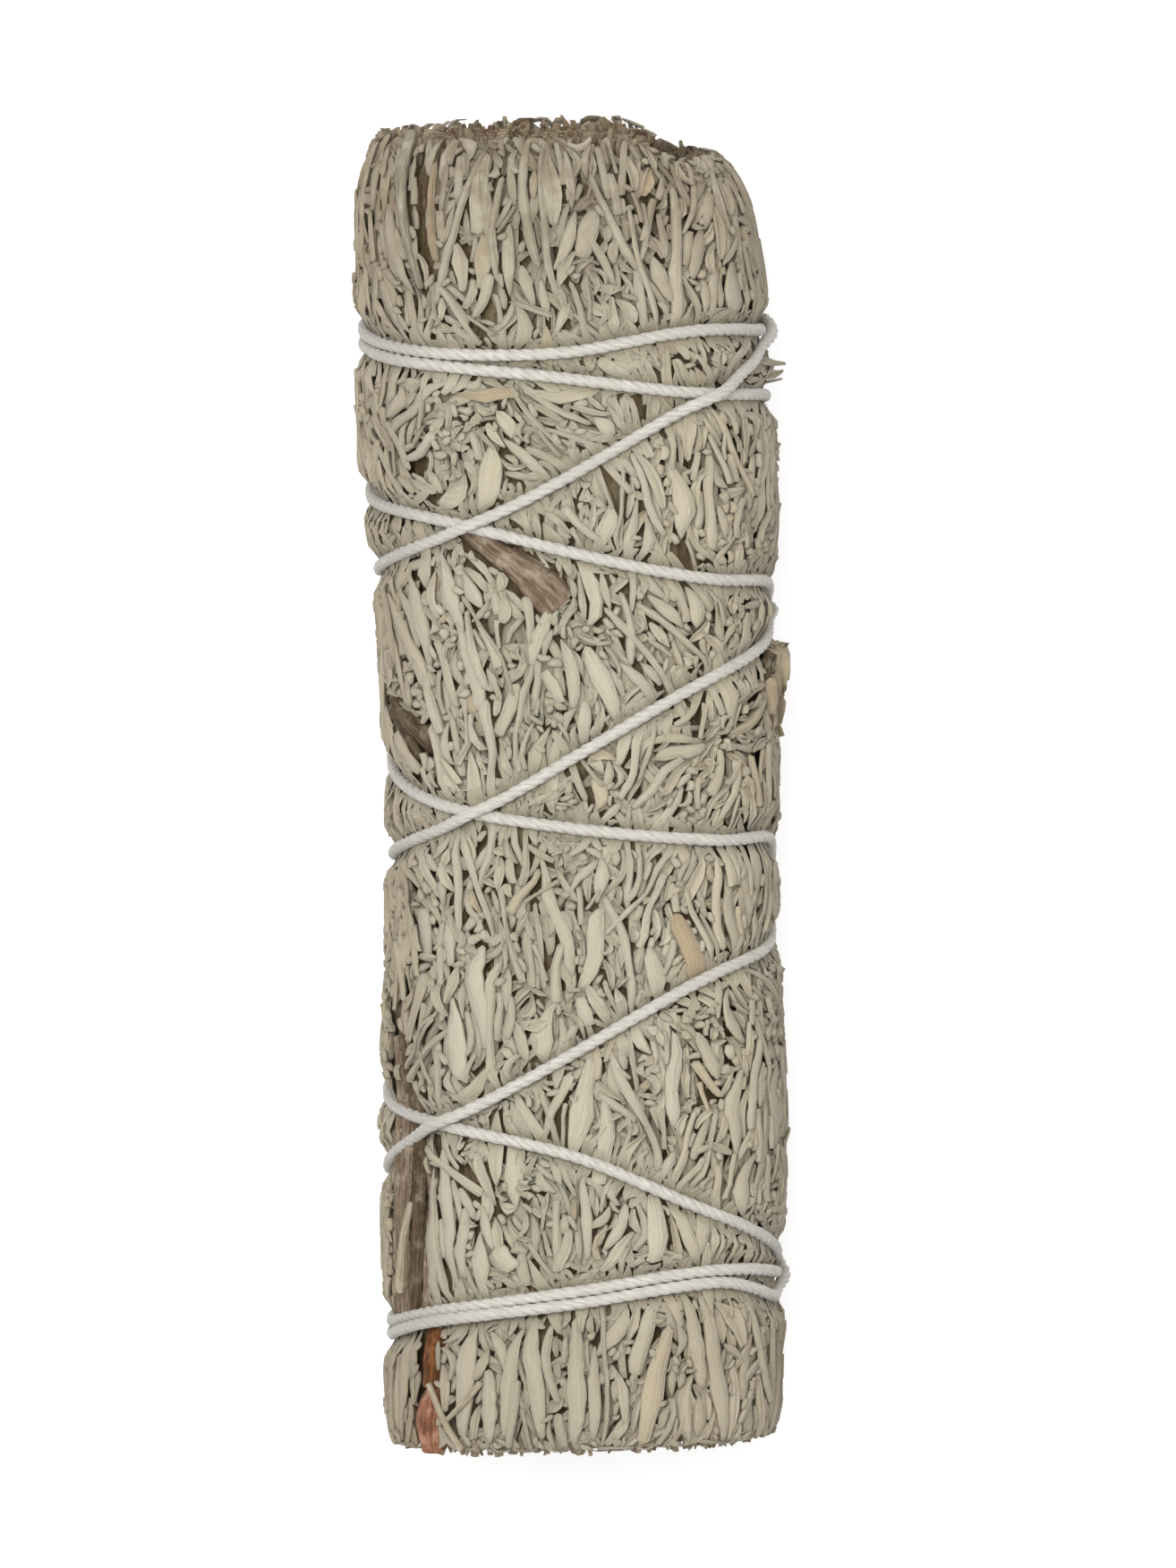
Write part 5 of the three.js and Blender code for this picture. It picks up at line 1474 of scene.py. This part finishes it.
def twig_part(run, ridges, roughness, seed, number=0):
    """A twig with ridged bark and cut ends."""
    middle, outward, half_width, half_thickness = run_through(run)
    ahead = np.gradient(middle, axis=0)
    ahead /= np.linalg.norm(ahead, axis=1, keepdims=True)
    aside = np.cross(ahead, outward)
    aside /= np.linalg.norm(aside, axis=1, keepdims=True)
    above = np.cross(aside, ahead)
    bark = np.random.default_rng(seed)
    turns = np.linspace(0, 2 * math.pi, TWIG_SIDES, endpoint=False)
    phases = bark.uniform(0, 2 * math.pi, (4, 2))
    travel = np.concatenate([[0], np.cumsum(np.linalg.norm(np.diff(middle, axis=0), axis=1))])[:, None]
    relief = (
        np.sin(ridges * turns + 0.35 * travel + phases[0, 0])
        + 0.6 * np.sin((ridges + 3) * turns - 0.5 * travel)
        + 0.7 * np.sin(2 * turns + 0.9 * travel + phases[1, 0])
        + 0.5 * np.sin(3 * turns - 1.7 * travel + phases[2, 0])
        + bark.normal(0, 0.5, (len(middle), TWIG_SIDES))
    )
    swell = 1 + roughness * relief
    points = (
        middle[:, None] + aside[:, None] * (half_width[:, None] * np.cos(turns) * swell)[..., None]
        + above[:, None] * (half_thickness[:, None] * np.sin(turns) * swell)[..., None]
    )
    tips = np.stack([middle[0] - ahead[0] * 0.15, middle[-1] + ahead[-1] * 0.15])
    points = np.concatenate([points.reshape(-1, 3), tips])
    faces = [face[::-1] for face in tube_faces(len(middle), TWIG_SIDES)]
    round_ = np.concatenate([np.tile(turns / (2 * math.pi), len(middle)), [0, 0]])
    way = np.concatenate([np.repeat(travel[:, 0], TWIG_SIDES), [0, travel[-1, 0]]])
    groove = np.concatenate([relief.reshape(-1), [0, 0]])
    return points, faces, number, {"round": round_, "way": way, "groove": groove}


def bark_material(name, dark, middle, pale):
    """Bark that is darker down in its grooves, with streaks along the stem."""
    material, tree, surface = shader(name)
    way, round_, groove = (value_of(tree, attribute) for attribute in ("way", "round", "groove"))
    streak_place = add(tree, "ShaderNodeCombineXYZ", _0=maths(tree, "MULTIPLY", way, 0.45),
                       _1=maths(tree, "MULTIPLY", round_, 26)).outputs[0]
    streaks = noise(tree, 1.0, 5, 0.65, streak_place)
    bark = blend(tree, spread(tree, streaks, 0.35, 0.62), dark, middle)
    bark = blend(tree, spread(tree, noise(tree, 700, 4, 0.6), 0.48, 0.7, 0, 0.75), bark, pale)
    bark = blend(tree, spread(tree, groove, -1.6, -0.2, 0.75, 0.0), bark, dark)
    bump = add(tree, "ShaderNodeBump", Strength=0.7, Distance=0.0003, Height=streaks)
    finish_surface(tree, surface, bark, 0.85, 0.2, bump)
    return material


BARK_COLOURS = {
    "grey_bark": ((92, 76, 60), (142, 124, 105), (164, 150, 131)),
    "dark_bark": ((60, 47, 34), (104, 88, 68), (138, 124, 104)),
    "red_bark": ((74, 46, 26), (120, 76, 42), (146, 102, 66)),
    "pink_bark": ((100, 62, 45), (156, 108, 84), (180, 140, 116)),
    "green_stem": ((122, 114, 97), (156, 149, 131), (180, 173, 155)),
    "pale_twig": ((150, 136, 112), (182, 172, 148), (198, 190, 168)),
}
BARK = {
    name: bark_material(name, *(colour(*shade) for shade in shades))
    for name, shades in BARK_COLOURS.items()
}
# How many ridges each twig's bark has round it, and how deep they are as a share of its thickness.
TWIG_BARK = {
    "forked_twig_front": (5, 0.05), "bark_stem_left": (7, 0.09), "twig_tip_right": (4, 0.12),
    "dark_twig_left": (6, 0.07), "red_stem_foot": (5, 0.05), "grey_stem_top_left": (4, 0.03),
}


def twig(name):
    slot, runs = TWIGS[name]
    ridges, roughness = TWIG_BARK[name]
    barks = [OTHER_BARK.get(name, {}).get(number, slot) for number in range(len(runs))]
    used = sorted(set(barks))
    parts = [
        twig_part(run, ridges, roughness, 20 + number, used.index(bark))
        for number, (run, bark) in enumerate(zip(runs, barks))
    ]
    materials = [BARK[bark] for bark in used]
    if name == "twig_tip_right":
        parts.append(rolled_leaves(KNOB_ROWS, SAGE["sage_leaf_tan"], len(materials)))
        materials.append(SAGE["sage_leaf_tan"])
    piece = joined(f"{name}_bark", parts, materials, ["round", "way", "groove"] + ATTRIBUTES)
    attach(piece, "root")
    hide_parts(name)


for name in TWIGS:
    twig(name)

# ---- The string ----


def string_tree():
    """Twists plies round the route and thickens them."""
    tree = new_tree("twist_string", [
        ("Plies", "NodeSocketInt"), ("Ply radius", "NodeSocketFloat"), ("Ply offset", "NodeSocketFloat"),
        ("Twist pitch", "NodeSocketFloat"), ("Sample step", "NodeSocketFloat"), ("Sides", "NodeSocketInt"),
        ("Material", "NodeSocketMaterial"),
    ])
    given = tree.nodes.new("NodeGroupInput").outputs
    fine = add(tree, "GeometryNodeResampleCurve", {"mode": "LENGTH"}, Curve=given["Geometry"],
               Length=given["Sample step"])
    copies = add(tree, "GeometryNodeDuplicateElements", {"domain": "SPLINE"}, Geometry=fine.outputs[0],
                 Amount=given["Plies"])
    numbered = add(tree, "GeometryNodeStoreNamedAttribute", {"data_type": "FLOAT", "domain": "CURVE"},
                   Geometry=copies.outputs[0], Name="ply", Value=copies.outputs["Duplicate Index"])
    length = add(tree, "GeometryNodeSplineParameter").outputs["Length"]
    ply = named(tree, "ply", "FLOAT")

    def calculate(operation, first, second=0.0):
        return add(tree, "ShaderNodeMath", {"operation": operation}, _0=first, _1=second).outputs[0]

    turns = calculate("DIVIDE", length, given["Twist pitch"])
    start = calculate("DIVIDE", ply, given["Plies"])
    angle = calculate("MULTIPLY", calculate("ADD", turns, start), 2 * math.pi)
    tangent = add(tree, "GeometryNodeInputTangent").outputs[0]
    normal = add(tree, "GeometryNodeInputNormal").outputs[0]
    cross = add(tree, "ShaderNodeVectorMath", {"operation": "CROSS_PRODUCT"}, _0=tangent, _1=normal)
    beside = cross.outputs[0]
    reach = given["Ply offset"]

    def scaled(vector, share):
        node = add(tree, "ShaderNodeVectorMath", {"operation": "SCALE"}, _0=vector)
        tree.links.new(share, node.inputs["Scale"])
        return node.outputs[0]

    sideways = add(
        tree, "ShaderNodeVectorMath", {"operation": "ADD"},
        _0=scaled(normal, calculate("MULTIPLY", reach, calculate("COSINE", angle))),
        _1=scaled(beside, calculate("MULTIPLY", reach, calculate("SINE", angle))),
    ).outputs[0]
    moved = add(tree, "GeometryNodeSetPosition", Geometry=numbered.outputs[0], Offset=sideways)
    way = add(tree, "GeometryNodeStoreNamedAttribute", {"data_type": "FLOAT", "domain": "POINT"},
              Geometry=moved.outputs[0], Name="way", Value=length)
    circle = add(tree, "GeometryNodeCurvePrimitiveCircle", Resolution=given["Sides"],
                 Radius=given["Ply radius"])
    way_round = add(tree, "GeometryNodeSplineParameter").outputs[0]
    round_ = add(tree, "GeometryNodeStoreNamedAttribute", {"data_type": "FLOAT", "domain": "POINT"},
                 Geometry=circle.outputs[0], Name="round", Value=way_round)
    thick = add(tree, "GeometryNodeCurveToMesh", Curve=way.outputs[0], Profile_Curve=round_.outputs[0],
                Fill_Caps=True)
    real = add(tree, "GeometryNodeRealizeInstances", Geometry=thick.outputs[0])
    smooth = add(tree, "GeometryNodeSetShadeSmooth", Geometry=real.outputs[0])
    dressed = add(tree, "GeometryNodeSetMaterial", Geometry=smooth.outputs[0], Material=given["Material"])
    out = tree.nodes.new("NodeGroupOutput")
    tree.links.new(dressed.outputs[0], out.inputs[0])
    return tree


def cotton_material():
    material, tree, surface = shader("white_cotton")
    way, round_ = value_of(tree, "way"), value_of(tree, "round")
    fibre_place = add(tree, "ShaderNodeCombineXYZ", _0=maths(tree, "MULTIPLY", way, 900),
                      _1=maths(tree, "MULTIPLY", round_, 14)).outputs[0]
    fibres = noise(tree, 1.0, 4, 0.6, fibre_place)
    cotton = blend(tree, spread(tree, fibres, 0.35, 0.65), colour(176, 172, 163), colour(203, 200, 191))
    cotton = blend(tree, spread(tree, noise(tree, 240, 3), 0.4, 0.7, 0, 0.4), cotton, colour(186, 182, 173))
    place = place_in_bunch(tree)
    # Painted shade: the string greyer towards the bunch's left and right sides.
    cotton = blend(tree, spread(tree, place["X"], -0.009, -0.0165, 0.0, 0.5), cotton, colour(142, 138, 131))
    cotton = blend(tree, spread(tree, place["X"], 0.0095, 0.0165, 0.0, 0.35), cotton, colour(150, 147, 140))
    surface.inputs["Sheen Weight"].default_value = 0.3
    bump = add(tree, "ShaderNodeBump", Strength=0.5, Distance=0.00015, Height=fibres)
    finish_surface(tree, surface, cotton, 0.95, 0.1, bump)
    return material


def string_points():
    angle = np.radians(180 - ROUTE_TURNED)
    under = np.clip(-np.sin(angle), 0, 1)
    lift = STRING_LIFT + (STRING_BELLY_LIFT - STRING_LIFT) * under
    return on_bunch(angle, ROUTE_ALONG, lift + ROUTE_RISE)


def knot_points():
    """A trefoil, flat on the bunch."""
    turn = np.linspace(0, 2 * math.pi, 61)
    across = (2 + np.cos(3 * turn)) * np.cos(2 * turn) * KNOT["size"]
    along = (2 + np.cos(3 * turn)) * np.sin(2 * turn) * KNOT["size"]
    height = KNOT["rise"] * np.sin(3 * turn)
    angle = math.radians(KNOT["angle"]) + across / KNOT["radius"]
    return on_bunch(angle, KNOT["along"] + along, KNOT["lift"] + height)


def tail_points(tail):
    nodes = smooth_through(np.array(tail, float), np.linspace(0, len(tail) - 1, 30))
    angle = np.radians(KNOT["angle"] + nodes[:, 0])
    return on_bunch(angle, KNOT["along"] + nodes[:, 1], nodes[:, 2])


def curve_object(name, lines):
    curve = bpy.data.curves.new(name, "CURVE")
    curve.dimensions = "3D"
    for line in lines:
        spline = curve.splines.new("POLY")
        spline.points.add(len(line) - 1)
        spline.points.foreach_set("co", np.column_stack([line * MM, np.ones(len(line))]).ravel())
    piece = bpy.data.objects.new(name, curve)
    bpy.context.scene.collection.objects.link(piece)
    return piece


cotton = cotton_material()
route = curve_object("string_route", [string_points(), knot_points(), *map(tail_points, STRING_TAILS)])
string_mesh = made_by(string_tree(), route, {
    "Plies": PLIES, "Ply radius": PLY_RADIUS * MM, "Ply offset": PLY_OFFSET * MM, "Sides": PLY_SIDES,
    "Twist pitch": TWIST_PITCH * MM, "Sample step": STRING_STEP * MM, "Material": cotton,
})
string = bpy.data.objects.new("cotton_string_twisted", string_mesh)
bpy.context.scene.collection.objects.link(string)
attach(string, "root")
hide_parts("cotton_string")

# ---- Floor, light and camera ----

for shape_object in list(shapes.objects):
    bpy.data.objects.remove(shape_object)
bpy.data.collections.remove(shapes)

floor = mesh_object("floor", [(-3, -3, 0), (3, -3, 0), (3, 3, 0), (-3, 3, 0)], [(0, 1, 2, 3)])
floor_material, _, floor_surface = shader("pale_floor")
floor_surface.inputs["Base Color"].default_value = (0.45, 0.45, 0.45, 1)
floor_surface.inputs["Roughness"].default_value = 0.9
floor_surface.inputs["Emission Color"].default_value = (1, 1, 1, 1)
floor_surface.inputs["Emission Strength"].default_value = 0.68
floor.data.materials.append(floor_material)

world = bpy.data.worlds.new("studio")
world.use_nodes = True
world.node_tree.nodes["Background"].inputs["Color"].default_value = (1, 1, 1, 1)
sky = add(world.node_tree, "ShaderNodeTexCoord").outputs["Generated"]
overhead = add(world.node_tree, "ShaderNodeSeparateXYZ", _0=sky).outputs["Z"]
brightness = spread(world.node_tree, overhead, -0.1, 1.0, 0.24, 1.06)
world.node_tree.links.new(brightness, world.node_tree.nodes["Background"].inputs["Strength"])
bpy.context.scene.world = world


def soft_light(name, place, target, size, power):
    light = bpy.data.lights.new(name, "AREA")
    light.shape = "DISK"
    light.size = size
    light.energy = power
    lamp = bpy.data.objects.new(name, light)
    lamp.location = place
    lamp.rotation_euler = (Vector(target) - Vector(place)).to_track_quat("-Z", "Y").to_euler()
    bpy.context.scene.collection.objects.link(lamp)


soft_light("key_light", (-0.16, 0.24, 0.97), (0, 0, 0), 0.5, 7)

CAMERA_TILT = math.radians(4.5)
CAMERA_ROLL = math.radians(-1.47)
CAMERA_TARGET = Vector((0.312, -0.427, 14.65)) * MM
CAMERA_DISTANCE = 3.5916
camera_data = bpy.data.cameras.new("camera")
camera_data.lens = 1000
camera_data.sensor_width = 36
camera = bpy.data.objects.new("camera", camera_data)
looking = Vector((0, -math.sin(CAMERA_TILT), -math.cos(CAMERA_TILT)))
level_up = Vector((0, math.cos(CAMERA_TILT), -math.sin(CAMERA_TILT)))
level_right = Vector((1, 0, 0))
right = level_right * math.cos(CAMERA_ROLL) + level_up * math.sin(CAMERA_ROLL)
up = level_up * math.cos(CAMERA_ROLL) - level_right * math.sin(CAMERA_ROLL)
turned = Matrix((right, up, -looking)).transposed().to_4x4()
camera.matrix_world = Matrix.Translation(CAMERA_TARGET - looking * CAMERA_DISTANCE) @ turned
bpy.context.scene.collection.objects.link(camera)
bpy.context.scene.camera = camera
bpy.context.scene.view_settings.view_transform = "Standard"

bpy.context.view_layer.update()
